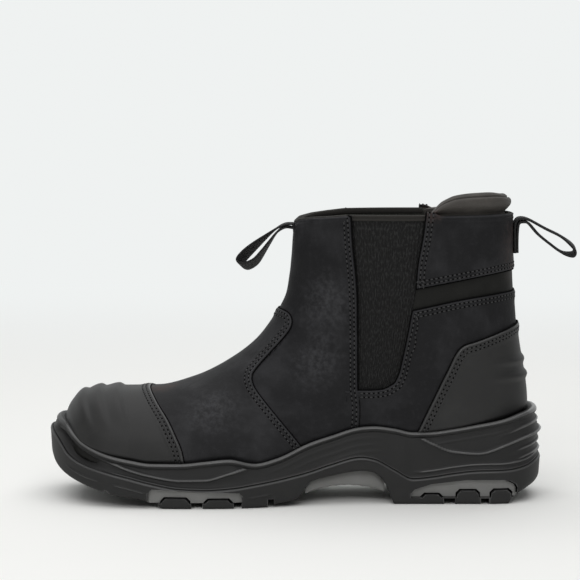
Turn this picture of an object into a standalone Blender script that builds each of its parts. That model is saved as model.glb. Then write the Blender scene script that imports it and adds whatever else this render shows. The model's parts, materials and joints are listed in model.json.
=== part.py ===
"""Pull-on safety boot for the left foot, built round one last from separate pieces.

Lengths are in millimetres and become metres when a mesh is made. The toe points to -X, the outer
side of the foot is -Y, and the floor is Z = 0. The origin is on the floor under the heel.
"""

import math
from collections import namedtuple

import bmesh
import bpy
import numpy as np

MM = 0.001
SHARP_ANGLE = math.radians(40.0)
CLEARANCE = 0.3

# Driving sizes of the upper
WALL = 2.2
TOE_TIP_X = -241.2
TOE_TIP_Y = 3.0
TOE_POLE_Z = 30.0
TOE_SIDE_FULLNESS = 4.0
TOE_PLAN_FULLNESS = 2.8
TOE_RINGS = 5
POINTS_ROUND = 22

# Driving sizes of the sole
HEEL_END_X = 56.4
TOE_END_X = -252.0
HEEL_BEND_X = 22.0
TOE_BEND_X = -205.0
HEEL_FULLNESS = 2.3
TOE_FULLNESS = 2.2
END_STEPS = 6
INSOLE_THICKNESS = 4.0

# Thickness of each panel that lies on the upper
CAP_THICKNESS = 2.0
VAMP_THICKNESS = 1.8
QUARTER_THICKNESS = 1.3
BAND_THICKNESS = 1.3
COUNTER_THICKNESS = 2.0
GORE_THICKNESS = 1.6
GORE_RECESS = 0.6

# Reach of the cutters beyond the boot
FAR = 90.0
DEEP_Z = -40.0
HIGH_Z = 215.0
FRONT_X = -290.0
BACK_X = 110.0

# Sections of the last, each in a plane from a front point to a rear point. Outer and inner are the
# half widths, ridge is how far the front point lies to the inner side, peak is the share of the way
# to the rear point where the section is widest, crown and base are the fullness before and after it.
Section = namedtuple("Section", "front_x front_z rear_x rear_z outer inner ridge peak crown base")
LAST = (
    Section(-200.0, 66.0, -200.0, 0.0, 46.5, 43.5, 2.0, 0.55, 2.4, 2.6),
    Section(-183.0, 66.4, -183.0, -2.0, 48.5, 44.5, 2.5, 0.55, 2.3, 2.6),
    Section(-160.0, 72.4, -158.0, -6.0, 49.5, 43.5, 3.0, 0.54, 2.2, 2.6),
    Section(-137.6, 83.8, -118.0, -8.0, 46.5, 38.5, 3.0, 0.60, 2.1, 2.6),
    Section(-119.6, 98.1, -78.0, -8.0, 39.5, 31.5, 2.0, 0.62, 2.0, 2.7),
    Section(-106.0, 117.8, -25.0, -6.0, 34.5, 30.0, 1.0, 0.58, 2.0, 2.8),
    Section(-101.8, 128.0, 22.0, 0.0, 34.0, 31.5, 0.0, 0.55, 2.1, 3.0),
    Section(-99.8, 137.0, 46.0, 22.0, 34.0, 32.5, 0.0, 0.52, 2.2, 2.9),
    Section(-98.3, 144.5, 46.0, 60.0, 35.0, 34.5, 0.0, 0.50, 2.2, 2.5),
    Section(-97.4, 152.0, 40.0, 104.0, 36.5, 36.5, 0.0, 0.50, 2.2, 2.3),
    Section(-96.9, 160.0, 37.4, 142.0, 37.5, 37.5, 0.0, 0.50, 2.2, 2.2),
    Section(-96.2, 171.0, 36.8, 165.0, 38.5, 38.5, 0.0, 0.50, 2.2, 2.2),
    Section(-96.0, 192.0, 36.4, 192.0, 38.5, 38.5, 0.0, 0.50, 2.2, 2.2),
)

# Places between the sections where the form bends enough to need a ring of its own, counted in rows
HALF_ROWS = (1.5, 2.5, 3.5, 4.5, 7.5, 8.5)

# Side of the sole: half widths and the heights of the lip, the wave ridge and the parting line, with
# the lean of the wall towards its top.
Side = namedtuple("Side", "x outer inner lip crest part lean")
SOLE_SIDE = (
    Side(-252.0, 46.0, 54.0, 52.0, 46.0, 38.0, 1.4),
    Side(-245.0, 46.5, 54.0, 51.0, 42.5, 34.5, 1.4),
    Side(-239.0, 47.0, 53.5, 45.5, 37.0, 29.5, 0.8),
    Side(-231.0, 48.0, 53.0, 38.5, 32.0, 25.8, 0.4),
    Side(-214.0, 51.5, 52.5, 31.0, 26.5, 20.6, 0.0),
    Side(-200.0, 54.0, 52.0, 28.6, 21.5, 17.6, 0.0),
    Side(-187.0, 55.5, 52.0, 27.2, 17.8, 15.0, 0.0),
    Side(-168.0, 57.0, 51.5, 27.3, 15.6, 11.8, 0.0),
    Side(-153.0, 57.0, 50.5, 28.7, 16.0, 11.2, 0.0),
    Side(-138.0, 56.3, 48.0, 29.9, 20.5, 12.0, 0.0),
    Side(-121.0, 53.2, 44.2, 26.9, 21.9, 14.2, 0.0),
    Side(-108.0, 50.2, 41.2, 29.7, 24.7, 16.4, 0.0),
    Side(-88.0, 45.3, 38.1, 38.4, 32.3, 20.9, 0.0),
    Side(-76.0, 43.0, 37.3, 42.7, 36.6, 24.7, 0.0),
    Side(-57.0, 41.2, 37.0, 48.4, 42.0, 29.2, 0.0),
    Side(-49.0, 40.6, 37.3, 48.5, 42.3, 27.8, 0.0),
    Side(-36.5, 40.1, 37.7, 46.7, 40.5, 21.2, 0.0),
    Side(-25.0, 40.0, 38.2, 44.4, 38.5, 16.6, 0.0),
    Side(-14.0, 40.0, 38.6, 44.6, 37.0, 18.2, 0.0),
    Side(0.0, 40.0, 39.0, 46.4, 35.0, 21.2, 0.2),
    Side(15.0, 40.0, 39.0, 49.0, 34.0, 22.6, 0.8),
    Side(33.0, 40.0, 39.0, 52.4, 38.5, 23.4, 1.8),
    Side(45.0, 40.0, 39.0, 54.6, 44.5, 26.2, 2.8),
    Side(56.4, 40.0, 39.0, 56.0, 48.0, 30.0, 3.4),
)

# Height of the tread: toe spring, forefoot, arch and heel
Tread = namedtuple("Tread", "x height")
TREAD = (
    Tread(-252.0, 29.0),
    Tread(-248.0, 21.6),
    Tread(-241.0, 16.4),
    Tread(-230.0, 11.8),
    Tread(-220.0, 8.6),
    Tread(-210.0, 5.0),
    Tread(-200.0, 1.0),
    Tread(-194.0, 0.0),
    Tread(-121.0, 0.0),
    Tread(-108.0, 2.0),
    Tread(-96.0, 4.4),
    Tread(-92.0, 9.6),
    Tread(-88.0, 14.6),
    Tread(-76.0, 17.8),
    Tread(-57.0, 20.8),
    Tread(-49.0, 19.6),
    Tread(-43.0, 14.0),
    Tread(-40.0, 8.0),
    Tread(-36.5, 0.0),
    Tread(34.0, 0.0),
    Tread(42.0, 3.5),
    Tread(49.0, 8.0),
    Tread(56.4, 13.0),
)

# Height of the cup floor under the insole
Floor = namedtuple("Floor", "x height")
FOOTBED = (
    Floor(-290.0, 38.0),
    Floor(-245.0, 36.0),
    Floor(-232.0, 30.0),
    Floor(-215.0, 24.5),
    Floor(-190.0, 19.5),
    Floor(-160.0, 16.0),
    Floor(-130.0, 18.0),
    Floor(-100.0, 24.0),
    Floor(-80.0, 29.0),
    Floor(-58.0, 32.5),
    Floor(-38.0, 30.0),
    Floor(-15.0, 27.0),
    Floor(110.0, 27.0),
)

# Top of the shaft in the side view, rounded at the front corner
Collar = namedtuple("Collar", "x height")
COLLAR = (
    Collar(-290.0, 168.0),
    Collar(-99.0, 168.5),
    Collar(-97.0, 172.0),
    Collar(-93.5, 175.2),
    Collar(-87.0, 177.0),
    Collar(-66.0, 178.2),
    Collar(110.0, 178.4),
)

# Rails of the sole wall from the top down: how far in from the outline, the height line that the rail
# follows, its height above that line, and the share of the lean that it takes.
Rail = namedtuple("Rail", "inset line above lean")
MIDSOLE_RAILS = (
    Rail(5.2, "lip", 0.0, 1.0),
    Rail(3.4, "lip", -0.9, 1.0),
    Rail(3.3, "lip", -2.9, 1.0),
    Rail(4.6, "lip", -3.9, 0.9),
    Rail(2.2, "crest", 1.9, 0.6),
    Rail(1.0, "crest", 0.9, 0.5),
    Rail(1.0, "crest", -0.7, 0.5),
    Rail(2.1, "crest", -1.5, 0.4),
    Rail(0.4, "part", 0.15, 0.0),
)
OUTSOLE_RAILS = (
    Rail(0.6, "part", -0.15, 0.0),
    Rail(0.0, "part", -1.3, 0.0),
    Rail(0.8, "tread", 3.4, 0.0),
    Rail(2.6, "tread", 0.0, 0.0),
)

BELOW_LIP_RAILS = (
    MIDSOLE_RAILS[0]._replace(above=CLEARANCE),
    Rail(-8.0, "lip", CLEARANCE, 0.0),
    Rail(-8.0, "tread", DEEP_Z, 0.0),
)

# Edges of the panels in the side view, as (x, z)
CAP_EDGE = ((-198.0, 90.0), (-192.5, 72.4), (-186.3, 67.5), (-181.4, 61.2), (-176.5, 53.7),
            (-172.8, 45.0), (-169.8, 35.6), (-167.0, 18.0))
VAMP_EDGE = ((-135.0, 119.5), (-112.0, 118.6), (-104.0, 117.2), (-100.6, 114.0), (-100.6, 108.5),
             (-106.0, 100.8), (-121.8, 83.6), (-124.7, 78.2), (-123.4, 73.0), (-118.2, 65.7),
             (-96.7, 39.7), (-84.0, 22.0))
SEAM_EDGE = ((-59.4, 18.0), (-59.4, 71.0))
GORE_FRONT = ((-59.4, 71.0), (-61.4, 127.5), (-63.3, 152.0), (-66.4, 190.0))
GORE_FOOT = ((-59.4, 71.0), (-47.0, 72.4), (-40.0, 75.0), (-36.0, 80.5))
GORE_REAR = ((-36.0, 80.5), (-27.8, 121.4), (-23.1, 152.0), (-17.6, 190.0))
QUARTER_TOP = ((-29.0, 115.0), (-9.2, 119.5), (15.3, 125.7), (35.4, 130.6), (70.0, 139.0))
COUNTER_EDGE = ((70.0, 119.5), (39.5, 108.8), (15.6, 100.2), (4.5, 96.2), (0.3, 90.9), (-5.7, 68.0),
                (-14.8, 45.6), (-23.0, 24.0))
BAND_EDGE = ((-25.6, 132.4), (9.1, 141.0), (35.3, 149.0), (70.0, 159.5))

# Ridges across the cap and claws round the counter: place, half width and height of each
Relief = namedtuple("Relief", "place half_width height")
CAP_RIDGES = (Relief(-231.0, 4.2, 1.3), Relief(-221.5, 4.2, 1.5), Relief(-211.0, 4.2, 1.4))
CAP_RIDGE_RINGS = (-231.0, -226.2, -221.5, -216.2, -211.0, -206.5)
CAP_RIDGE_FOOT_Z = 50.0
CAP_RIDGE_FULL_Z = 62.0
COUNTER_CLAWS = (Relief(86.5, 3.6, 1.4), Relief(77.0, 3.6, 1.6))
CLAW_RINGS = (8.28, 8.39, 8.61, 8.72)
CLAW_START_X = 22.0
CLAW_FULL_X = 40.0

# Grey side blocks: foot of their teeth, upper edge as (x, z), and how far in they start on each side
Window = namedtuple("Window", "name base upper_edge lugs deep_outer deep_inner")
Lug = namedtuple("Lug", "x_rear x_front top")
WINDOWS = (
    Window(
        "forefoot",
        3.2,
        ((-188.0, 9.4), (-185.4, 12.2), (-160.0, 11.0), (-132.0, 9.8), (-130.0, 7.6)),
        (Lug(-136.2, -153.6, 6.0), Lug(-162.2, -180.2, 6.8)),
        44.0,
        38.0,
    ),
    Window(
        "heel",
        4.2,
        ((-26.5, 6.8), (-24.0, 9.4), (-14.0, 12.6), (8.0, 15.2), (31.0, 15.0), (37.4, 12.4), (39.0, 9.4)),
        (Lug(36.4, 22.6, 9.2), Lug(16.2, 1.6, 9.0), Lug(-6.6, -20.2, 6.6)),
        27.0,
        26.0,
    ),
)
WINDOW_RECESS = 2.6
LUG_CHAMFER = 2.2

# Grooves between the lugs, as the two x of each groove
GROOVES = ((-217.5, -213.5), (-188.0, -181.0), (-161.4, -154.4), (-135.4, -130.6), (-114.6, -110.8),
           (-6.0, 1.0), (16.8, 22.0))
GROOVE_DEPTH = 3.8
SPINE_HALF_WIDTH = 15.0

# Grey block under the arch
ARCH_REAR_X = -43.0
ARCH_FRONT_X = -88.0
ARCH_INSET = 10.0
ARCH_FOOT_INSET = 14.0
ARCH_BOTTOM = 9.2

# Section of the collar pad: in from the wall and up from the collar
Pad = namedtuple("Pad", "out up")
PAD_SECTION = (
    Pad(-2.7, -14.0),
    Pad(-2.7, -0.2),
    Pad(-2.3, 0.8),
    Pad(0.2, 1.6),
    Pad(0.8, 4.5),
    Pad(-0.4, 8.6),
    Pad(-4.0, 11.7),
    Pad(-8.2, 10.4),
    Pad(-10.8, 6.0),
    Pad(-11.2, -1.0),
    Pad(-9.4, -9.0),
    Pad(-6.0, -15.0),
)
PAD_RISE = ((-20.0, 0.08), (-11.0, 0.18), (-4.0, 0.46), (4.0, 0.74), (16.0, 0.90), (40.0, 0.95))
PAD_HALF_SWEEP = math.radians(79.0)
PAD_STEPS = 15

# Webbing loops: routes in the side view, as (x, z)
STRAP_WIDTH = 14.0
STRAP_THICKNESS = 1.4
FRONT_LOOP = ((-98.9, 171.3), (-103.4, 172.0), (-110.0, 169.8), (-117.4, 164.4), (-126.0, 158.4),
              (-131.8, 152.0), (-132.8, 147.2), (-130.2, 143.8), (-125.6, 143.8), (-121.0, 147.4),
              (-117.4, 154.0), (-113.0, 161.8), (-108.4, 167.0), (-103.4, 169.4), (-99.0, 168.6))
FRONT_LOOP_LEAN = (-1.5, 2.1)
BACK_LOOP = ((38.8, 174.8), (43.4, 175.4), (49.6, 173.2), (58.8, 168.2), (68.4, 162.5),
             (75.4, 156.6), (77.4, 152.4), (74.8, 149.6), (69.0, 151.2), (60.0, 158.2),
             (51.4, 166.4), (46.0, 169.2), (41.8, 167.0), (40.8, 160.0), (39.75, 152.4))
BACK_LOOP_LEAN = (0.0, 0.0)
LOOP_STEPS_PER_SPAN = 2
LEAN_START = 0.1
LEAN_FULL = 0.8


def slopes(x, y):
    """Slopes of a smooth curve through points that never swings past them."""
    step = np.diff(x)
    rise = np.diff(y) / step
    slope = np.zeros(len(x))
    slope[0], slope[-1] = rise[0], rise[-1]
    for i in range(1, len(x) - 1):
        if rise[i - 1] * rise[i] > 0:
            before = 2 * step[i] + step[i - 1]
            after = step[i] + 2 * step[i - 1]
            slope[i] = (before + after) / (before / rise[i - 1] + after / rise[i])
    return slope


def smooth(x, y, at):
    """Value at a place on the smooth curve through the points (x, y), with x rising."""
    x, y = np.asarray(x, float), np.asarray(y, float)
    at = min(max(at, x[0]), x[-1])
    i = min(int(np.searchsorted(x, at, side="right")) - 1, len(x) - 2)
    step = x[i + 1] - x[i]
    t = (at - x[i]) / step
    slope = slopes(x, y) * step
    return (
        (2 * t**3 - 3 * t**2 + 1) * y[i]
        + (t**3 - 2 * t**2 + t) * slope[i]
        + (3 * t**2 - 2 * t**3) * y[i + 1]
        + (t**3 - t**2) * slope[i + 1]
    )


def column(rows, name, at):
    """A named column of a table at x, smoothed between its rows."""
    return smooth([row.x for row in rows], [getattr(row, name) for row in rows], at)


def rounded(points, steps=2):
    """A soft curve through the points of an edge, for outlines in the side view."""
    points = np.asarray(points, float)
    ends = np.vstack([2 * points[0] - points[1], points, 2 * points[-1] - points[-2]])
    curve = []
    for a, b, c, d in zip(ends, ends[1:], ends[2:], ends[3:]):
        bend = 2 * a - 5 * b + 4 * c - d
        twist = 3 * b - 3 * c + d - a
        for t in np.arange(steps) / steps:
            curve.append((2 * b + (c - a) * t + bend * t**2 + twist * t**3) / 2)
    curve.append(points[-1])
    return [tuple(point) for point in curve]


def ease(at, start, full):
    """0 before start, 1 past full, and a soft step between them."""
    t = min(max((at - start) / (full - start), 0.0), 1.0)
    return t * t * (3 - 2 * t)


def inset_outline(points, distance):
    """A closed outline in the side view, moved inwards by a distance."""
    points = [np.asarray(point, float) for point in points]
    area = sum(a[0] * b[1] - b[0] * a[1] for a, b in zip(points, points[1:] + points[:1]))
    if area < 0:
        points.reverse()
    moved = []
    for before, here, after in zip(points[-1:] + points[:-1], points, points[1:] + points[:1]):
        first, second = here - before, after - here
        first_in = np.array([-first[1], first[0]]) / np.linalg.norm(first)
        second_in = np.array([-second[1], second[0]]) / np.linalg.norm(second)
        bisector = first_in + second_in
        moved.append(tuple(here + bisector * distance * 2 / max(bisector @ bisector, 1.0)))
    return moved


def make_collection(name):
    collection = bpy.data.collections.new(name)
    bpy.context.scene.collection.children.link(collection)
    return collection


def make_material(name, colour, roughness):
    material = bpy.data.materials.new(name)
    material.use_nodes = True
    shader = material.node_tree.nodes["Principled BSDF"]
    shader.inputs["Base Color"].default_value = (*colour, 1.0)
    shader.inputs["Roughness"].default_value = roughness
    shader.inputs["Metallic"].default_value = 0.0
    return material


def add_object(name, bm, collection, material=None):
    """Puts a closed bmesh, in millimetres, into a collection as an object in metres."""
    bmesh.ops.scale(bm, vec=(MM, MM, MM), verts=bm.verts)
    bmesh.ops.recalc_face_normals(bm, faces=bm.faces)
    mesh = bpy.data.meshes.new(name)
    bm.to_mesh(mesh)
    bm.free()
    body = bpy.data.objects.new(name, mesh)
    collection.objects.link(body)
    if material:
        mesh.materials.append(material)
        mesh.shade_smooth()
        mesh.set_sharp_from_angle(angle=SHARP_ANGLE)
    else:
        body.hide_render = True
        body.display_type = "WIRE"
    return body


def combine(body, other, operation="DIFFERENCE"):
    """Cuts a body by another one, or keeps what they share."""
    boolean = body.modifiers.new(other.name, "BOOLEAN")
    boolean.operation = operation
    boolean.object = other
    boolean.solver = "EXACT"


def add_prism(name, outline, y_from, y_to, collection, material=None):
    """A flat outline in the side view, drawn out from one y to another."""
    bm = bmesh.new()
    face = bm.faces.new([bm.verts.new((x, y_from, z)) for x, z in outline])
    drawn = bmesh.ops.extrude_face_region(bm, geom=[face])
    corners = [item for item in drawn["geom"] if isinstance(item, bmesh.types.BMVert)]
    bmesh.ops.translate(bm, vec=(0, y_to - y_from, 0), verts=corners)
    return add_object(name, bm, collection, material)


def add_loft(name, rings, collection, material=None, tip=None, lids=True):
    """Skins a stack of rings with the same number of points, from an optional tip to the last ring."""
    bm = bmesh.new()
    loops = [[bm.verts.new(point) for point in ring] for ring in rings]
    for lower, upper in zip(loops, loops[1:]):
        for i in range(len(lower)):
            j = (i + 1) % len(lower)
            bm.faces.new((lower[i], lower[j], upper[j], upper[i]))
    bmesh.ops.triangulate(bm, faces=bm.faces, quad_method="FIXED")
    if tip is not None:
        point = bm.verts.new(tip)
        for i in range(len(loops[0])):
            bm.faces.new((loops[0][i], loops[0][(i + 1) % len(loops[0])], point))
    elif lids:
        bm.faces.new(loops[0])
    if lids:
        bm.faces.new(loops[-1])
    else:
        for i in range(len(loops[0])):
            j = (i + 1) % len(loops[0])
            bm.faces.new((loops[-1][i], loops[-1][j], loops[0][j], loops[0][i]))
    return add_object(name, bm, collection, material)


def section_ring(section, shift=0.0):
    """Points round one section of the last, from its front point by the outer side."""
    ring = []
    for k in range(POINTS_ROUND):
        angle = 2 * math.pi * k / POINTS_ROUND
        c, s = math.cos(angle), math.sin(angle)
        fullness = section.crown if c >= 0 else section.base
        reach = abs(c) ** (2 / fullness)
        t = section.peak * (1 - reach) if c >= 0 else section.peak + (1 - section.peak) * reach
        half = section.outer if s > 0 else section.inner
        y = section.ridge * (1 - t) - math.copysign(half * abs(s) ** (2 / fullness), s)
        x = section.front_x + t * (section.rear_x - section.front_x)
        z = section.front_z + t * (section.rear_z - section.front_z)
        ring.append((x, y + shift, z))
    return ring


def toe_rings(extra_x):
    """Rings of the toe dome, from near its tip to the first section of the last."""
    first = LAST[0]
    length = first.front_x - TOE_TIP_X
    turns = [math.pi / 2 * k / TOE_RINGS for k in range(1, TOE_RINGS)]
    places = [math.cos(turn) ** (2 / TOE_SIDE_FULLNESS) for turn in turns]
    places += [(first.front_x - x) / length for x in extra_x]
    rings = []
    for along in sorted(places, reverse=True):
        rise = (1 - along**TOE_SIDE_FULLNESS) ** (1 / TOE_SIDE_FULLNESS)
        width = (1 - along**TOE_PLAN_FULLNESS) ** (1 / TOE_PLAN_FULLNESS)
        x = first.front_x - length * along
        section = first._replace(
            front_x=x,
            rear_x=x,
            front_z=TOE_POLE_Z + (first.front_z - TOE_POLE_Z) * rise,
            rear_z=TOE_POLE_Z + (first.rear_z - TOE_POLE_Z) * rise,
            outer=first.outer * width,
            inner=first.inner * width,
        )
        rings.append(section_ring(section, TOE_TIP_Y * along**2))
    return rings


def last_section(at):
    """The section at a place between two rows of the last, counted in rows."""
    rows = range(len(LAST))
    return Section(*(smooth(rows, [row[c] for row in LAST], at) for c in range(len(Section._fields))))


def last_rings(extra_x=(), extra_rows=()):
    """All rings of the last, from the toe to above the collar, and the outward direction at each point."""
    rows = sorted([*range(len(LAST)), *HALF_ROWS, *extra_rows])
    rings = toe_rings(extra_x) + [section_ring(last_section(at)) for at in rows]
    rings = np.array(rings)
    round_step = np.roll(rings, -1, axis=1) - np.roll(rings, 1, axis=1)
    long_step = np.gradient(rings, axis=0)
    outward = np.cross(round_step, long_step)
    outward /= np.linalg.norm(outward, axis=2, keepdims=True)
    return rings, outward


def add_last(name, distance, collection, material=None, relief=None, **density):
    """The closed form of the last grown by a distance, with an optional relief over its surface."""
    rings, outward = last_rings(**density)
    grown = rings + outward * distance
    if relief:
        grown += outward * np.array([[[relief(point)] for point in ring] for ring in grown])
    tip = (TOE_TIP_X - distance, TOE_TIP_Y, TOE_POLE_Z)
    return add_loft(name, grown, collection, material, tip=tip)


def below_line(rows, name, lift, cutters):
    """A cutter for all that lies below a height line of the side view."""
    line = [(row.x, row.height + lift) for row in rows]
    return add_prism(name, [(FRONT_X, DEEP_Z), *line, (BACK_X, DEEP_Z)], -FAR, FAR, cutters)


def sole_stations():
    """Places along the sole between its two ends, closer together where the ends turn round."""
    middle = {row.x for row in TREAD} | {row.x for row in SOLE_SIDE}
    places = [x for x in middle if TOE_BEND_X < x < HEEL_BEND_X]
    turns = np.sin(np.arange(END_STEPS) / END_STEPS * math.pi / 2)
    places += [HEEL_BEND_X + (HEEL_END_X - HEEL_BEND_X) * turn for turn in turns]
    places += [TOE_BEND_X + (TOE_END_X - TOE_BEND_X) * turn for turn in turns]
    return sorted(places, reverse=True)


def sole_edges(x):
    """The outer and inner y of the sole's outline at x."""
    outer, inner = column(SOLE_SIDE, "outer", x), column(SOLE_SIDE, "inner", x)
    middle, half = (inner - outer) / 2, (inner + outer) / 2
    if x > HEEL_BEND_X:
        turn = (x - HEEL_BEND_X) / (HEEL_END_X - HEEL_BEND_X)
        half *= max(1 - turn**HEEL_FULLNESS, 0.0) ** (1 / HEEL_FULLNESS)
    elif x < TOE_BEND_X:
        turn = (TOE_BEND_X - x) / (TOE_BEND_X - TOE_END_X)
        half *= max(1 - turn**TOE_FULLNESS, 0.0) ** (1 / TOE_FULLNESS)
    return middle - half, middle + half


def sole_outline():
    """The sole's outline in plan from the heel end by the outer side, with its outward direction."""
    stations = sole_stations()
    outer = [(x, sole_edges(x)[0]) for x in stations]
    inner = [(x, sole_edges(x)[1]) for x in reversed(stations)]
    loop = [(HEEL_END_X, sole_edges(HEEL_END_X)[0]), *outer, (TOE_END_X, sole_edges(TOE_END_X)[0]), *inner]
    loop = np.array(loop)
    run = np.roll(loop, -1, axis=0) - np.roll(loop, 1, axis=0)
    outward = np.column_stack([-run[:, 1], run[:, 0]])
    return loop, outward / np.linalg.norm(outward, axis=1, keepdims=True)


def line_height(line, x):
    return column(TREAD, "height", x) if line == "tread" else column(SOLE_SIDE, line, x)


def add_sole_block(name, rails, collection, material=None):
    """A block of the sole between its first and last rail, with lids across both."""
    loop, outward = sole_outline()
    bm = bmesh.new()
    loops = []
    for rail in rails:
        verts = []
        for place, direction in zip(loop, outward):
            inset = rail.inset + rail.lean * column(SOLE_SIDE, "lean", place[0])
            x, y = place - direction * inset
            verts.append(bm.verts.new((x, y, line_height(rail.line, place[0]) + rail.above)))
        loops.append(verts)
    count = len(loop)
    for upper, lower in zip(loops, loops[1:]):
        for i in range(count):
            j = (i + 1) % count
            bm.faces.new((upper[i], lower[i], lower[j], upper[j]))
    for verts in (loops[0], loops[-1]):
        for i in range(count // 2):
            corners = (verts[i], verts[i + 1], verts[(count - i - 1) % count], verts[(count - i) % count])
            bm.faces.new(dict.fromkeys(corners))
    return add_object(name, bm, collection, material)


def comb_outline(window):
    """The side view of a grey block: a strip over the lugs with teeth down between them."""
    points = [(window.upper_edge[-1][0], window.base)]
    for lug in window.lugs:
        points += [
            (lug.x_rear, window.base),
            (lug.x_rear, lug.top - LUG_CHAMFER),
            (lug.x_rear - LUG_CHAMFER, lug.top),
            (lug.x_front + LUG_CHAMFER, lug.top),
            (lug.x_front, lug.top - LUG_CHAMFER),
            (lug.x_front, window.base),
        ]
    return [*points, (window.upper_edge[0][0], window.base), *window.upper_edge]


def build_sole(parts, cutters, finishes):
    """Outsole with its lugs, the grey blocks and the midsole cup."""
    outsole = add_sole_block("outsole", OUTSOLE_RAILS, parts, finishes["tread_rubber"])
    recessed_rails = [rail._replace(inset=rail.inset + WINDOW_RECESS) for rail in OUTSOLE_RAILS]
    recessed = add_sole_block("recessed_sole", recessed_rails, cutters)
    for window in WINDOWS:
        outline = comb_outline(window)
        filled = inset_outline(outline, CLEARANCE)
        for side, deep, sign in (("outer", window.deep_outer, -1), ("inner", window.deep_inner, 1)):
            name = f"{window.name}_{side}"
            combine(outsole, add_prism(f"pocket_{name}", outline, sign * deep, sign * FAR, cutters))
            start = sign * (deep + CLEARANCE)
            block = add_prism(f"insert_{name}", filled, start, sign * FAR, parts, finishes["grey_rubber"])
            combine(block, recessed, "INTERSECT")
    for index, (front, rear) in enumerate(GROOVES):
        top = max(line_height("tread", front), line_height("tread", rear)) + GROOVE_DEPTH
        outline = ((front, DEEP_Z), (rear, DEEP_Z), (rear, top), (front, top))
        for side, sign in (("outer", -1), ("inner", 1)):
            name = f"groove_{index}_{side}"
            combine(outsole, add_prism(name, outline, sign * SPINE_HALF_WIDTH, sign * FAR, cutters))
    build_arch(parts, finishes)
    midsole = add_sole_block("midsole", MIDSOLE_RAILS, parts, finishes["midsole_rubber"])
    cup = add_last("cup_form", CLEARANCE, cutters)
    combine(cup, below_line(FOOTBED, "below_cup", 0.0, cutters))
    combine(midsole, cup)


def build_arch(parts, finishes):
    """Grey block under the waist, hanging from the arch of the outsole."""
    places = [x for x in sole_stations() if ARCH_FRONT_X <= x <= ARCH_REAR_X]
    rings = []
    for x in places:
        outer, inner = sole_edges(x)
        top = line_height("tread", x) - CLEARANCE
        rings.append(
            (
                (x, outer + ARCH_INSET, top),
                (x, inner - ARCH_INSET, top),
                (x, inner - ARCH_FOOT_INSET, ARCH_BOTTOM),
                (x, outer + ARCH_FOOT_INSET, ARCH_BOTTOM),
            )
        )
    add_loft("insert_arch", rings, parts, finishes["grey_rubber"])


def gore_outline():
    rear = rounded(GORE_REAR)
    foot = rounded(GORE_FOOT)
    front = rounded(GORE_FRONT)
    return foot[:-1] + rear + front[::-1][:-1]


def build_upper(parts, cutters, finishes):
    """The hollow wall from toe to collar, open at the top, underneath and at both gores."""
    upper = add_last("upper", 0.0, parts, finishes["flex_leather"])
    above = [(FRONT_X, HIGH_Z), *((row.x, row.height) for row in COLLAR), (BACK_X, HIGH_Z)]
    above_collar = add_prism("above_collar", above, -FAR, FAR, cutters)
    combine(upper, above_collar)
    combine(upper, add_last("foot_space", -WALL, cutters))
    combine(upper, below_line(FOOTBED, "below_upper", CLEARANCE, cutters))
    combine(upper, add_prism("gore_notch", gore_outline(), -FAR, FAR, cutters))
    insole = add_last("insole", -WALL - CLEARANCE, parts, finishes["insole_cloth"])
    bottom = [(row.x, row.height + CLEARANCE) for row in FOOTBED]
    top = [(x, z + INSOLE_THICKNESS) for x, z in reversed(bottom)]
    combine(insole, add_prism("insole_layer", bottom + top, -FAR, FAR, cutters), "INTERSECT")
    return above_collar


def build_gores(parts, cutters, above_collar, finishes):
    """Elastic panels in the two notches, a little below the leather."""
    outline = inset_outline(gore_outline(), CLEARANCE)
    for side, sign in (("outer", -1), ("inner", 1)):
        gore = add_last(f"gore_{side}", -GORE_RECESS, parts, finishes["elastic"])
        combine(gore, add_prism(f"gore_field_{side}", outline, sign, sign * FAR, cutters), "INTERSECT")
        combine(gore, above_collar)
        combine(gore, add_last(f"gore_back_{side}", -GORE_RECESS - GORE_THICKNESS, cutters))


def cap_relief(point):
    """Height of the soft ridges across the top of the toe cap."""
    x, _, z = point
    fade = ease(z, CAP_RIDGE_FOOT_Z, CAP_RIDGE_FULL_Z)
    return fade * sum(r.height * (1 - ease(abs(x - r.place), 0.0, r.half_width)) for r in CAP_RIDGES)


def claw_relief(point):
    """Height of the claws round the back of the counter."""
    x, _, z = point
    fade = ease(x, CLAW_START_X, CLAW_FULL_X)
    return fade * sum(r.height * (1 - ease(abs(z - r.place), 0.0, r.half_width)) for r in COUNTER_CLAWS)


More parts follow.
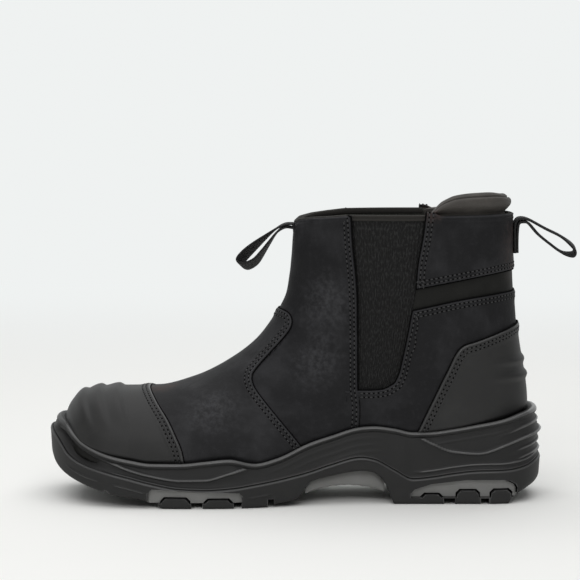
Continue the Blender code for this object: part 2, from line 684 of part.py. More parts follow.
def build_panels(parts, cutters, above_collar, finishes):
    """Panels that lie on the upper, each cut from the last's own form by its edges in the side view."""
    cap_edge, vamp_edge = rounded(CAP_EDGE), rounded(VAMP_EDGE)
    counter_edge, quarter_top = rounded(COUNTER_EDGE), rounded(QUARTER_TOP)
    gore_rear, gore_foot = rounded(GORE_REAR), rounded(GORE_FOOT)
    quarter_start = QUARTER_TOP[0][1]
    low_rear = [point for point in gore_rear if point[1] < quarter_start]
    band_rear = [point for point in gore_rear if point[1] > BAND_EDGE[0][1]]
    outlines = {
        "toe_cap": [(FRONT_X, CAP_EDGE[0][1]), *cap_edge, (FRONT_X, CAP_EDGE[-1][1])],
        "vamp": [*cap_edge[::-1], *vamp_edge],
        "front_quarter": [
            *vamp_edge[::-1],
            (VAMP_EDGE[0][0], HIGH_Z),
            (GORE_FRONT[-1][0], HIGH_Z),
            *rounded(GORE_FRONT)[::-1],
            *SEAM_EDGE[:1],
        ],
        "back_quarter": [SEAM_EDGE[0], *gore_foot, *low_rear[1:], *quarter_top, *counter_edge],
        "heel_counter": [*counter_edge, (COUNTER_EDGE[0][0], COUNTER_EDGE[-1][1])],
        "collar_band": [
            *rounded(BAND_EDGE),
            (BAND_EDGE[-1][0], HIGH_Z),
            (GORE_REAR[-1][0], HIGH_Z),
            *band_rear[::-1],
        ],
    }
    makes = {
        "toe_cap": (CAP_THICKNESS, "cap_rubber", cap_relief, {"extra_x": CAP_RIDGE_RINGS}),
        "vamp": (VAMP_THICKNESS, "leather", None, {}),
        "front_quarter": (QUARTER_THICKNESS, "leather", None, {}),
        "back_quarter": (QUARTER_THICKNESS, "leather", None, {}),
        "heel_counter": (COUNTER_THICKNESS, "cap_rubber", claw_relief, {"extra_rows": CLAW_RINGS}),
        "collar_band": (BAND_THICKNESS, "leather", None, {}),
    }
    below_lip = add_sole_block("below_lip", BELOW_LIP_RAILS, cutters)
    under_panels = add_last("under_panels", CLEARANCE, cutters)
    for name, outline in outlines.items():
        thickness, finish, relief, density = makes[name]
        panel = add_last(name, CLEARANCE + thickness, parts, finishes[finish], relief, **density)
        field = add_prism(f"{name}_field", inset_outline(outline, CLEARANCE / 2), -FAR, FAR, cutters)
        combine(panel, field, "INTERSECT")
        if name in ("front_quarter", "collar_band"):
            combine(panel, above_collar)
        combine(panel, under_panels)
        combine(panel, below_lip)


def build_collar_pad(parts, finishes):
    """Padded roll round the back of the collar, from gore to gore."""
    ring = np.array(section_ring(LAST[-1]))[:, :2]
    run = np.roll(ring, -1, axis=0) - np.roll(ring, 1, axis=0)
    outward = np.column_stack([run[:, 1], -run[:, 0]])
    outward /= np.linalg.norm(outward, axis=1, keepdims=True)
    collar_z = COLLAR[-1].height
    rise_x, rise = zip(*PAD_RISE)
    rings = []
    for turn in np.linspace(-PAD_HALF_SWEEP, PAD_HALF_SWEEP, PAD_STEPS):
        at = (0.5 + turn / (2 * math.pi)) * POINTS_ROUND
        low = int(at)
        share = at - low
        place = ring[low] * (1 - share) + ring[(low + 1) % POINTS_ROUND] * share
        direction = outward[low] * (1 - share) + outward[(low + 1) % POINTS_ROUND] * share
        height = smooth(rise_x, rise, place[0])
        points = []
        for pad in PAD_SECTION:
            x, y = place + direction * pad.out
            up = pad.up * height if pad.up > 0 else pad.up
            points.append((x, y, collar_z + CLEARANCE + up))
        rings.append(points)
    add_loft("collar_pad", rings, parts, finishes["lining"])


def strap_rings(route, lean, closed):
    """Cross-sections of a flat strap along a route in the side view. Its near edge leans out of line."""
    route = np.array(rounded(route, LOOP_STEPS_PER_SPAN))
    run = np.gradient(route, axis=0)
    if closed:
        run = np.roll(route, -1, axis=0) - np.roll(route, 1, axis=0)
    across = np.column_stack([-run[:, 1], run[:, 0]])
    across /= np.linalg.norm(across, axis=1, keepdims=True)
    reach = np.abs(route[:, 0] - route[0, 0])
    reach = reach / reach.max()
    rings = []
    for (x, z), (across_x, across_z), share in zip(route, across, reach):
        ring = []
        for edge, face in ((-1, -1), (1, -1), (1, 1), (-1, 1)):
            shift = -edge / 2 * ease(share, LEAN_START, LEAN_FULL)
            ring.append(
                (
                    x + across_x * face * STRAP_THICKNESS / 2 + shift * lean[0],
                    edge * STRAP_WIDTH / 2,
                    z + across_z * face * STRAP_THICKNESS / 2 + shift * lean[1],
                )
            )
        rings.append(ring)
    return rings


def build_loops(parts, finishes):
    """Webbing loops at the front and the back of the collar."""
    front = strap_rings(FRONT_LOOP, FRONT_LOOP_LEAN, closed=True)
    add_loft("pull_loop_front", front, parts, finishes["webbing"], lids=False)
    back = strap_rings(BACK_LOOP, BACK_LOOP_LEAN, closed=False)
    add_loft("pull_loop_back", back, parts, finishes["webbing"])


def main():
    for leftover in list(bpy.data.objects):
        bpy.data.objects.remove(leftover)
    parts = make_collection("safety_boot")
    cutters = make_collection("cutters")
    finishes = {
        "leather": make_material("leather", (0.012, 0.012, 0.014), 0.65),
        "flex_leather": make_material("flex_leather", (0.014, 0.013, 0.013), 0.6),
        "cap_rubber": make_material("cap_rubber", (0.022, 0.022, 0.023), 0.6),
        "midsole_rubber": make_material("midsole_rubber", (0.012, 0.012, 0.013), 0.45),
        "tread_rubber": make_material("tread_rubber", (0.010, 0.010, 0.010), 0.7),
        "grey_rubber": make_material("grey_rubber", (0.16, 0.16, 0.165), 0.6),
        "insole_cloth": make_material("insole_cloth", (0.03, 0.03, 0.03), 0.9),
        "elastic": make_material("elastic", (0.010, 0.010, 0.011), 0.85),
        "lining": make_material("lining", (0.035, 0.030, 0.027), 0.75),
        "webbing": make_material("webbing", (0.014, 0.014, 0.014), 0.8),
    }
    build_sole(parts, cutters, finishes)
    above_collar = build_upper(parts, cutters, finishes)
    build_gores(parts, cutters, above_collar, finishes)
    build_panels(parts, cutters, above_collar, finishes)
    build_collar_pad(parts, finishes)
    build_loops(parts, finishes)


main()
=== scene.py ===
"""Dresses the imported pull-on safety boot for a studio picture.

Sizes are in millimetres and become metres when a mesh is placed. The toe points to -X, the outer side
of the foot is -Y and the floor is Z = 0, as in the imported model.
"""

import json
import logging
import math
from dataclasses import astuple, dataclass, field
from enum import Enum
from typing import Callable, Sequence

import bmesh
import bpy
import numpy as np
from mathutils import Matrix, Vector
from mathutils.kdtree import KDTree

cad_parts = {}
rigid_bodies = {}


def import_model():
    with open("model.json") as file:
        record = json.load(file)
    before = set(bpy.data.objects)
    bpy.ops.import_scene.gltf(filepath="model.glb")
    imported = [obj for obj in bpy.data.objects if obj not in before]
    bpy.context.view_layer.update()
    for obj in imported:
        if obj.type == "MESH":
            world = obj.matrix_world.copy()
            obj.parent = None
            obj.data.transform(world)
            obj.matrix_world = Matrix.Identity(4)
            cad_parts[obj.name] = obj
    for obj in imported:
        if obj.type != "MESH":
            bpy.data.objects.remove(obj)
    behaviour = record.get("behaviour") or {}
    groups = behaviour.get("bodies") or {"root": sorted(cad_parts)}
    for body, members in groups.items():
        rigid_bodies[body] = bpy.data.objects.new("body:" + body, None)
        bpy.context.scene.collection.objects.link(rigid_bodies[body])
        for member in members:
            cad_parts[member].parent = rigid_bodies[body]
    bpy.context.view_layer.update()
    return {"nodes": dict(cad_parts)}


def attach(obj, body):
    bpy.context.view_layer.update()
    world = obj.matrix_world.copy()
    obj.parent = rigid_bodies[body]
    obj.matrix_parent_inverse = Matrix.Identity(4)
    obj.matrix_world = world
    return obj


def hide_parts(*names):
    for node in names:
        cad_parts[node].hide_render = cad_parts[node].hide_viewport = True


LOG = logging.getLogger("boot")
MM = 0.001
BODY = "root"
FULL_TURN = 2 * math.pi
NO_EDGE = 9.0
FAR_FROM_EDGE = 99.0
MERGE = 0.002
TINY = 1e-9
WAVE_FACTOR = 20.0
SPOT_CORE = 0.25
MIX_FIRST = 6
MIX_SECOND = 7
BLOCK_EDGE = 0.8
BLOCK_SEGMENTS = 3
BLACK = (0.0, 0.0, 0.0)
WHITE = (1.0, 1.0, 1.0)
Array = np.ndarray
Point2 = tuple[float, float]
Point3 = tuple[float, float, float]
Spot = tuple[float, float, float, float]
Colour = tuple[float, float, float]
Line2 = tuple[Point2, ...]
Piece = bpy.types.Object


def soft_step(at: Array, start: float, full: float) -> Array:
    """0 before start, 1 past full and a soft step between them."""
    share = np.clip((np.asarray(at, float) - start) / (full - start), 0.0, 1.0)
    return share * share * (3 - 2 * share)


def bell(at: Array, half_width: float) -> Array:
    """A soft hump of height 1 that ends at its half width."""
    return 1 - soft_step(np.abs(at), 0.0, half_width)


def through(x: Sequence[float], y: Sequence[float], at: Array) -> Array:
    """Reads a smooth curve through table points that never swings past them.

    Args:
        x: Rising places of the points.
        y: Their values.
        at: Places to read.

    Returns:
        The curve's value at each place, held at both ends.
    """
    x, y, at = np.asarray(x, float), np.asarray(y, float), np.clip(np.asarray(at, float), x[0], x[-1])
    step = np.diff(x)
    rise = np.diff(y) / step
    slope = np.zeros(len(x))
    slope[0], slope[-1] = rise[0], rise[-1]
    before, after = 2 * step[1:] + step[:-1], step[1:] + 2 * step[:-1]
    same = rise[:-1] * rise[1:] > 0
    safe = np.where(same[:, None], np.column_stack([rise[:-1], rise[1:]]), 1.0)
    slope[1:-1] = np.where(same, (before + after) / (before / safe[:, 0] + after / safe[:, 1]), 0.0)
    i = np.clip(np.searchsorted(x, at, side="right") - 1, 0, len(x) - 2)
    t = (at - x[i]) / step[i]
    level = (2 * t**3 - 3 * t**2 + 1) * y[i] + (3 * t**2 - 2 * t**3) * y[i + 1]
    return level + step[i] * ((t**3 - 2 * t**2 + t) * slope[i] + (t**3 - t**2) * slope[i + 1])


def rounded(points: Sequence[Point2], steps: int = 24) -> Array:
    """A soft curve through the points of a line in the side view.

    Args:
        points: Points of the line.
        steps: Points laid from each of them to the next.

    Returns:
        Points of the curve.
    """
    points = np.asarray(points, float)
    ends = np.vstack([2 * points[0] - points[1], points, 2 * points[-1] - points[-2]])
    share = (np.arange(steps) / steps)[:, None]
    curve = []
    for a, b, c, d in zip(ends, ends[1:], ends[2:], ends[3:]):
        bend, twist = 2 * a - 5 * b + 4 * c - d, 3 * b - 3 * c + d - a
        curve.append((2 * b + (c - a) * share + bend * share**2 + twist * share**3) / 2)
    return np.vstack([*curve, points[-1:]])


def squared_ring(sides: int, power: float) -> tuple[Array, Array]:
    """Points round a ring that is pulled towards a square.

    Args:
        sides: Points round the ring, with the first one again at the end.
        power: 1 for a circle and towards 0 for a square.

    Returns:
        Their two coordinates, from -1 to 1.
    """
    turn = np.linspace(0.0, FULL_TURN, sides)
    across, up = (np.sign(part) * np.abs(part) ** power for part in (np.cos(turn), np.sin(turn)))
    return across, up


def run_length(points: Array) -> Array:
    """Length along a line of points, from 0 at its first."""
    return np.concatenate([[0.0], np.cumsum(np.linalg.norm(np.diff(points, axis=0), axis=1))])


def unit(vectors: Array) -> Array:
    """Vectors of length 1 in the same directions."""
    return vectors / np.maximum(np.linalg.norm(vectors, axis=-1, keepdims=True), TINY)


class Crossing(Enum):
    """The line of the last, as an angle, that a panel crosses from the outer to the inner side."""

    FRONT = 0.0
    BACK = math.pi


@dataclass(frozen=True)
class Section:
    """One section of the last between a front and a rear point."""

    front_x: float
    front_z: float
    rear_x: float
    rear_z: float
    outer: float
    inner: float
    ridge: float
    peak: float
    crown: float
    base: float


@dataclass
class Trace:
    """A line on the last, as places counted in rows and angles."""

    rows: Array
    angles: Array

    def both_sides(self, crossing: Crossing) -> "Trace":
        """The line carried on over its crossing to the inner side."""
        turned = 2 * crossing.value - self.angles[::-1]
        return self.joined(Trace(self.rows[-2::-1], turned[1:]))

    def read(self, length: Array, at: Array) -> "Trace":
        """The line's places at lengths along it."""
        return Trace(np.interp(at, length, self.rows), np.interp(at, length, self.angles))

    def joined(self, other: "Trace") -> "Trace":
        """This line followed by another one."""
        return Trace(np.concatenate([self.rows, other.rows]), np.concatenate([self.angles, other.angles]))


@dataclass(frozen=True)
class Last:
    """The form of the foot that the upper is drawn over, the same as in the part's source."""

    tip_x: float = -241.2
    tip_y: float = 3.0
    pole_z: float = 30.0
    side_fullness: float = 4.0
    plan_fullness: float = 2.8
    difference: float = 0.004
    tip_row: float = 0.9995
    rim_share: float = 0.002
    halvings: int = 40
    sections: tuple[Section, ...] = (
        Section(-200.0, 66.0, -200.0, 0.0, 46.5, 43.5, 2.0, 0.55, 2.4, 2.6),
        Section(-183.0, 66.4, -183.0, -2.0, 48.5, 44.5, 2.5, 0.55, 2.3, 2.6),
        Section(-160.0, 72.4, -158.0, -6.0, 49.5, 43.5, 3.0, 0.54, 2.2, 2.6),
        Section(-137.6, 83.8, -118.0, -8.0, 46.5, 38.5, 3.0, 0.60, 2.1, 2.6),
        Section(-119.6, 98.1, -78.0, -8.0, 39.5, 31.5, 2.0, 0.62, 2.0, 2.7),
        Section(-106.0, 117.8, -25.0, -6.0, 34.5, 30.0, 1.0, 0.58, 2.0, 2.8),
        Section(-101.8, 128.0, 22.0, 0.0, 34.0, 31.5, 0.0, 0.55, 2.1, 3.0),
        Section(-99.8, 137.0, 46.0, 22.0, 34.0, 32.5, 0.0, 0.52, 2.2, 2.9),
        Section(-98.3, 144.5, 46.0, 60.0, 35.0, 34.5, 0.0, 0.50, 2.2, 2.5),
        Section(-97.4, 152.0, 40.0, 104.0, 36.5, 36.5, 0.0, 0.50, 2.2, 2.3),
        Section(-96.9, 160.0, 37.4, 142.0, 37.5, 37.5, 0.0, 0.50, 2.2, 2.2),
        Section(-96.2, 171.0, 36.8, 165.0, 38.5, 38.5, 0.0, 0.50, 2.2, 2.2),
        Section(-96.0, 192.0, 36.4, 192.0, 38.5, 38.5, 0.0, 0.50, 2.2, 2.2),
    )

    def columns(self, row: Array) -> tuple[Array, Array]:
        """Sizes of the sections at places counted in rows, with the toe dome at rows below 0.

        Args:
            row: Places along the last, from -1 at the toe tip.

        Returns:
            The columns of a Section, one a line, and the sideways shift of the toe.
        """
        row = np.asarray(row, float)
        first = self.sections[0]
        table = np.array([astuple(section) for section in self.sections])
        found = [through(range(len(table)), values, row) for values in table.T]
        along = np.clip(-row, 0.0, 1.0)
        rise = (1 - along**self.side_fullness) ** (1 / self.side_fullness)
        width = (1 - along**self.plan_fullness) ** (1 / self.plan_fullness)
        place = first.front_x - (first.front_x - self.tip_x) * along
        toe = row < 0
        found[0], found[2] = np.where(toe, place, found[0]), np.where(toe, place, found[2])
        found[1] = np.where(toe, self.pole_z + (first.front_z - self.pole_z) * rise, found[1])
        found[3] = np.where(toe, self.pole_z + (first.rear_z - self.pole_z) * rise, found[3])
        found[4], found[5] = np.where(toe, width, 1.0) * found[4], np.where(toe, width, 1.0) * found[5]
        return np.stack(found), self.tip_y * along**2

    def point(self, row: Array, angle: Array) -> Array:
        """Points on the last at places counted in rows and angles.

        Args:
            row: Places along the last.
            angle: Angles round it.

        Returns:
            The points in millimetres.
        """
        columns, shift = self.columns(row)
        front_x, front_z, rear_x, rear_z, outer, inner, ridge, peak, crown, base = columns
        c, s = np.cos(angle), np.sin(angle)
        fullness = np.where(c >= 0, crown, base)
        reach = np.abs(c) ** (2 / fullness)
        t = np.where(c >= 0, peak * (1 - reach), peak + (1 - peak) * reach)
        side = np.sign(s) * np.where(s > 0, outer, inner) * np.abs(s) ** (2 / fullness)
        y = ridge * (1 - t) - side + shift
        return np.stack([front_x + t * (rear_x - front_x), y, front_z + t * (rear_z - front_z)], axis=-1)

    def runs(self, row: Array, angle: Array) -> tuple[Array, Array]:
        """Directions along the rows and round the angles, as length for a whole row or radian.

        Args:
            row: Places along the last.
            angle: Angles round it.

        Returns:
            Both directions at each place.
        """
        step = self.difference
        back, ahead = np.clip(row - step, -1.0, None), row + step
        along = (self.point(ahead, angle) - self.point(back, angle)) / (ahead - back)[..., None]
        return along, (self.point(row, angle + step) - self.point(row, angle - step)) / (2 * step)

    def outward(self, row: Array, angle: Array) -> Array:
        """Directions straight out of the last."""
        along, around = self.runs(row, angle)
        return unit(np.cross(around, along))

    def walk(self, row: Array, angle: Array, move: Array) -> tuple[Array, Array]:
        """The places reached by short moves over the surface.

        Args:
            row: Starting rows.
            angle: Starting angles.
            move: Moves as vectors in millimetres.

        Returns:
            Rows and angles after the moves.
        """
        for _ in range(2):
            along, around = self.runs(row, angle)
            aa, ab, bb = (along * along).sum(-1), (along * around).sum(-1), (around * around).sum(-1)
            am, bm_ = (along * move).sum(-1) / 2, (around * move).sum(-1) / 2
            spread = np.maximum(aa * bb - ab * ab, TINY)
            row, angle = row + (bb * am - ab * bm_) / spread, angle + (aa * bm_ - ab * am) / spread
        return row, angle

    def locate(self, x: Array, z: Array) -> tuple[Array, Array]:
        """Finds points of the side view on the last.

        Args:
            x: Places along the boot.
            z: Heights.

        Returns:
            Their rows, and their shares of the way from the front to the rear point of that section.
        """
        low, high = np.full(len(x), -self.tip_row), np.full(len(x), len(self.sections) - 1.0)
        for _ in range(self.halvings):
            middle = (low + high) / 2
            front_x, front_z, rear_x, rear_z = self.columns(middle)[0][:4]
            ahead = (x - front_x) * (rear_z - front_z) - (z - front_z) * (rear_x - front_x) < 0
            low, high = np.where(ahead, middle, low), np.where(ahead, high, middle)
        front_x, front_z, rear_x, rear_z = self.columns(low)[0][:4]
        run_x, run_z = rear_x - front_x, rear_z - front_z
        share = ((x - front_x) * run_x + (z - front_z) * run_z) / (run_x**2 + run_z**2)
        return low, share

    def trace(self, points: Sequence[Point2], soft: bool = True, lift: float = 0.0) -> Trace:
        """Lays a line of the side view on the outer side of the last, cut off at its outline.

        Args:
            points: Points of the line.
            soft: Whether a soft curve runs through the points.
            lift: Height over the last at which the line is seen.

        Returns:
            The line's places on the last.
        """
        line = rounded(points) if soft else np.asarray(points, float)
        row, share = self.locate(line[:, 0], line[:, 1])
        for _ in range(4 if lift else 0):
            outward = self.outward(row, self.angle(row, np.clip(share, self.rim_share, 1 - self.rim_share)))
            seen = line - lift * outward[:, [0, 2]]
            row, share = self.locate(seen[:, 0], seen[:, 1])
        for edge, inside in ((0.0, share >= 0.0), (1.0, share <= 1.0)):
            for i in np.flatnonzero(inside[:-1] != inside[1:]):
                part = (edge - share[i]) / (share[i + 1] - share[i])
                out = i if not inside[i] else i + 1
                row[out], share[out] = row[i] + part * (row[i + 1] - row[i]), edge
        keep = (share >= 0.0) & (share <= 1.0)
        return Trace(row[keep], self.angle(row[keep], share[keep]))

    def angle(self, row: Array, share: Array) -> Array:
        """Angles on the outer side at shares of the way from the front to the rear points.

        Args:
            row: Places along the last.
            share: Shares of the way.

        Returns:
            The angles.
        """
        peak, crown, base = self.columns(row)[0][7:]
        over = np.clip(1 - share / peak, 0.0, 1.0) ** (crown / 2)
        under = np.clip((share - peak) / (1 - peak), 0.0, 1.0) ** (base / 2)
        return np.arccos(np.clip(np.where(share < peak, over, -under), -1.0, 1.0))

    def spaced(self, line: Trace, count: int) -> Trace:
        """The same line with its places set evenly along it."""
        length = run_length(self.point(line.rows, line.angles))
        return line.read(length, np.linspace(0.0, length[-1], count))


LAST = Last()


@dataclass(frozen=True)
class Side:
    """One row of the sole's side."""

    x: float
    outer: float
    inner: float
    lip: float
    crest: float
    part: float
    lean: float


@dataclass(frozen=True)
class SoleForm:
    """Outline and height lines of the sole, closer at toe and wave ridge than in the part's source."""

    heel_end_x: float = 56.4
    toe_end_x: float = -252.0
    heel_bend_x: float = 22.0
    toe_bend_x: float = -205.0
    heel_fullness: float = 2.3
    toe_fullness: float = 2.2
    end_steps: int = 26
    station_step: float = 1.7
    sides: tuple[Side, ...] = (
        Side(-252.0, 46.0, 54.0, 50.8, 47.6, 44.2, 3.2),
        Side(-245.0, 46.5, 54.0, 48.2, 42.6, 37.2, 2.8),
        Side(-239.0, 47.0, 53.5, 43.8, 36.6, 30.2, 1.8),
        Side(-231.0, 48.0, 53.0, 38.3, 32.0, 26.0, 1.0),
        Side(-214.0, 51.5, 52.5, 31.9, 28.2, 21.4, 0.2),
        Side(-200.0, 54.0, 52.0, 29.1, 23.2, 18.2, 0.0),
        Side(-187.0, 55.5, 52.0, 27.2, 19.8, 15.0, 0.0),
        Side(-168.0, 57.0, 51.5, 27.3, 17.2, 11.8, 0.0),
        Side(-153.0, 57.0, 50.5, 28.7, 17.4, 11.2, 0.0),
        Side(-138.0, 56.3, 48.0, 29.9, 21.2, 12.0, 0.0),
        Side(-121.0, 53.2, 44.2, 26.9, 25.1, 14.2, 0.0),
        Side(-108.0, 50.2, 41.2, 29.7, 24.7, 16.4, 0.0),
        Side(-88.0, 45.3, 38.1, 38.4, 32.3, 20.9, 0.0),
        Side(-76.0, 43.0, 37.3, 42.3, 36.6, 24.7, 0.0),
        Side(-57.0, 41.2, 37.0, 47.7, 42.0, 29.2, 0.0),
        Side(-49.0, 40.6, 37.3, 48.2, 42.3, 27.8, 0.0),
        Side(-36.5, 40.1, 37.7, 46.7, 40.5, 21.2, 0.0),
        Side(-25.0, 40.0, 38.2, 44.4, 42.4, 15.6, 0.0),
        Side(-14.0, 40.0, 38.6, 44.6, 37.8, 16.6, 0.0),
        Side(0.0, 40.0, 39.0, 46.4, 32.4, 18.8, 0.1),
        Side(15.0, 40.0, 39.0, 49.0, 31.2, 20.4, 0.3),
        Side(33.0, 40.0, 39.0, 52.4, 36.2, 20.8, 0.3),
        Side(45.0, 40.0, 39.0, 55.4, 40.2, 22.4, 0.3),
        Side(56.4, 40.0, 39.0, 57.2, 43.4, 27.0, 0.3),
    )
    tread: Line2 = (
        (-252.0, 29.0), (-248.0, 22.2), (-241.0, 17.2), (-230.0, 12.9), (-220.0, 9.9), (-213.0, 8.3),
        (-206.0, 6.8), (-198.0, 5.8), (-190.0, 4.8), (-187.8, 3.4), (-181.4, 3.2), (-180.6, 0.0),
        (-121.0, 0.0), (-108.0, 2.0), (-96.0, 4.4), (-92.0, 9.6), (-88.0, 14.6), (-76.0, 17.8),
        (-57.0, 20.8), (-49.0, 19.6), (-43.0, 14.0), (-40.0, 8.0), (-36.5, 0.0), (35.2, 0.0),
        (36.4, 3.4), (39.4, 4.4), (42.0, 6.0), (49.0, 7.2), (56.4, 9.0),
    )
    footbed: Line2 = (
        (-290.0, 38.0), (-245.0, 36.0), (-232.0, 30.0), (-215.0, 24.5), (-190.0, 19.5), (-160.0, 16.0),
        (-130.0, 18.0), (-100.0, 24.0), (-80.0, 29.0), (-58.0, 32.5), (-38.0, 30.0), (-15.0, 27.0),
        (110.0, 27.0),
    )

    def line(self, name: str, x: Array) -> Array:
        """A named column of the side table, or the tread or footbed height, at places x."""
        table = getattr(self, name, None) or [(row.x, getattr(row, name)) for row in self.sides]
        return through(*zip(*table), x)

    def edges(self, x: Array) -> tuple[Array, Array]:
        """The outer and inner y of the outline at places x.

        Args:
            x: Places along the sole.

        Returns:
            Outer and inner y.
        """
        outer, inner = self.line("outer", x), self.line("inner", x)
        middle, half = (inner - outer) / 2, (inner + outer) / 2
        heel = np.clip((x - self.heel_bend_x) / (self.heel_end_x - self.heel_bend_x), 0.0, 1.0)
        toe = np.clip((self.toe_bend_x - x) / (self.toe_bend_x - self.toe_end_x), 0.0, 1.0)
        half = half * (1 - heel**self.heel_fullness) ** (1 / self.heel_fullness)
        half = half * (1 - toe**self.toe_fullness) ** (1 / self.toe_fullness)
        return middle - half, middle + half

    def stations(self) -> Array:
        """Places along the sole from heel end to toe end, closer together where the ends turn round.

        Returns:
            The places, falling.
        """
        turn = np.sin(np.linspace(0.0, 1.0, self.end_steps) * math.pi / 2)
        heel = self.heel_bend_x + (self.heel_end_x - self.heel_bend_x) * turn[::-1]
        toe = self.toe_bend_x + (self.toe_end_x - self.toe_bend_x) * turn
        count = int((self.heel_bend_x - self.toe_bend_x) / self.station_step)
        return np.concatenate([heel[:-1], np.linspace(self.heel_bend_x, self.toe_bend_x, count), toe[1:]])

    def outline(self) -> tuple[Array, Array]:
        """The outline in plan from the heel end by the outer side and back, with its outward directions.

        Returns:
            Points and directions.
        """
        x = self.stations()
        outer, inner = self.edges(x)
        loop = np.vstack([np.column_stack([x, outer]), np.column_stack([x, inner])[-2:0:-1]])
        run = np.roll(loop, -1, axis=0) - np.roll(loop, 1, axis=0)
        return loop, unit(np.column_stack([-run[:, 1], run[:, 0]]))


SOLE = SoleForm()


class Value:
    """A socket of a shader graph that takes part in Python expressions."""

    def __init__(self, graph: "Graph", socket: bpy.types.NodeSocket) -> None:
        """Keeps the socket and the graph that it belongs to."""
        self.graph, self.socket = graph, socket

    def math(self, operation: str, *others: "Value | float") -> "Value":
        """A Math node on this value and others."""
        return self.graph.node("ShaderNodeMath", {"operation": operation}, dict(enumerate((self, *others))))

    def __add__(self, other: "Value | float") -> "Value":
        """This value plus another."""
        return self.math("ADD", other)

    __radd__ = __add__

    def __mul__(self, other: "Value | float") -> "Value":
        """This value times another."""
        return self.math("MULTIPLY", other)

    __rmul__ = __mul__

    def __sub__(self, other: "Value | float") -> "Value":
        """This value less another."""
        return self.math("SUBTRACT", other)

    def __rsub__(self, other: float) -> "Value":
        """A number less this value."""
        return self.math("MULTIPLY_ADD", -1.0, other)

    def between(self, low: float, high: float) -> "Value":
        """A soft mask, 0 at low and 1 at high."""
        inputs = {"Value": self, "From Min": low, "From Max": high}
        return self.graph.node("ShaderNodeMapRange", {"interpolation_type": "SMOOTHSTEP"}, inputs)


class Graph:
    """The node tree of one material."""

    def __init__(self, name: str) -> None:
        """Starts a material with its Principled shader.

        Args:
            name: Name of the material.
        """
        self.material = bpy.data.materials.new(name)
        self.material.use_nodes = True
        self.tree = self.material.node_tree
        self.shader = self.tree.nodes["Principled BSDF"]

    def node(
        self, kind: str, settings: dict | None = None, inputs: dict | None = None, out: int | str = 0
    ) -> Value:
        """Adds a node.

        Args:
            kind: The node's type.
            settings: Its properties.
            inputs: Values or links of its sockets, by name or number.
            out: The output to give back.

        Returns:
            The node's output.
        """
        node = self.tree.nodes.new(kind)
        for name, setting in (settings or {}).items():
            setattr(node, name, setting)
        for name, value in (inputs or {}).items():
            self.feed(node.inputs[name], value)
        return Value(self, node.outputs[out])

    def feed(self, socket: bpy.types.NodeSocket, value: "Value | float | Sequence[float]") -> None:
        """Links a value to a socket, or sets the socket to a number, vector or colour.

        Args:
            socket: Socket of a node.
            value: What it takes.
        """
        if isinstance(value, Value):
            self.tree.links.new(value.socket, socket)
        elif isinstance(value, (tuple, list)) and len(socket.default_value) == len(value) + 1:
            socket.default_value = (*value, 1.0)
        else:
            socket.default_value = value

    def set(self, **sockets: "Value | float | Sequence[float]") -> None:
        """Feeds sockets of the shader, named with underscores for spaces."""
        for name, value in sockets.items():
            self.feed(self.shader.inputs[name.replace("_", " ")], value)

    def place(self) -> Value:
        """Object coordinates."""
        return self.node("ShaderNodeTexCoord", out="Object")

    def layout(self) -> Value:
        """The piece's own UV map, in metres over its surface."""
        return self.node("ShaderNodeTexCoord", out="UV")

    def stretched(self, vector: Value, scale: Sequence[float], turn: float = 0.0) -> Value:
        """Coordinates scaled, and turned about Z, by a Mapping node."""
        return self.node("ShaderNodeMapping", None, {0: vector, "Scale": scale, "Rotation": (0.0, 0.0, turn)})

    def noise(self, vector: Value, size: float, detail: float = 3.0, rough: float = 0.55) -> Value:
        """Cloudy noise with features of about a size in millimetres."""
        inputs = {"Vector": vector, "Scale": 1 / (size * MM), "Detail": detail, "Roughness": rough}
        return self.node("ShaderNodeTexNoise", None, inputs)

    def cells(self, vector: Value, size: float, feature: str = "F1") -> Value:
        """Distance in a cell pattern with cells of about a size in millimetres."""
        inputs = {"Vector": vector, "Scale": 1 / (size * MM)}
        return self.node("ShaderNodeTexVoronoi", {"feature": feature}, inputs)

    def waves(self, vector: Value, pitch: float, direction: str) -> Value:
        """Even sine bands along an axis with a pitch in millimetres."""
        inputs = {"Vector": vector, "Scale": FULL_TURN / (WAVE_FACTOR * pitch * MM)}
        return self.node("ShaderNodeTexWave", {"bands_direction": direction}, inputs)

    def mix(self, share: Value, first: "Colour | Value", second: "Colour | Value") -> Value:
        """A colour between two by a share."""
        settings = {"data_type": "RGBA", "clamp_factor": True}
        return self.node("ShaderNodeMix", settings, {0: share, MIX_FIRST: first, MIX_SECOND: second}, out=2)

    def bump(self, height: Value, depth: float, strength: float = 1.0, over: Value | None = None) -> Value:
        """A Bump node for a height of a depth in millimetres, laid over another bump."""
        inputs = {"Height": height, "Distance": depth * MM, "Strength": strength}
        return self.node("ShaderNodeBump", None, inputs | ({"Normal": over} if over else {}))

    def near(self, place: Value, spots: Sequence[Sequence[float]]) -> Value:
        """A mask that fades out round spots given as x, y, z and radius in millimetres.

        Args:
            place: Coordinates.
            spots: The spots.

        Returns:
            The mask.
        """
        masks = []
        for *spot, radius in spots:
            inputs = {0: place, 1: tuple(value * MM for value in spot)}
            away = self.node("ShaderNodeVectorMath", {"operation": "DISTANCE"}, inputs, out="Value")
            masks.append(1 - away.between(SPOT_CORE * radius * MM, radius * MM))
        return sum(masks[1:], masks[0])

    def attribute(self, name: str) -> Value:
        """A number stored on the mesh."""
        return self.node("ShaderNodeAttribute", {"attribute_name": name}, out="Fac")


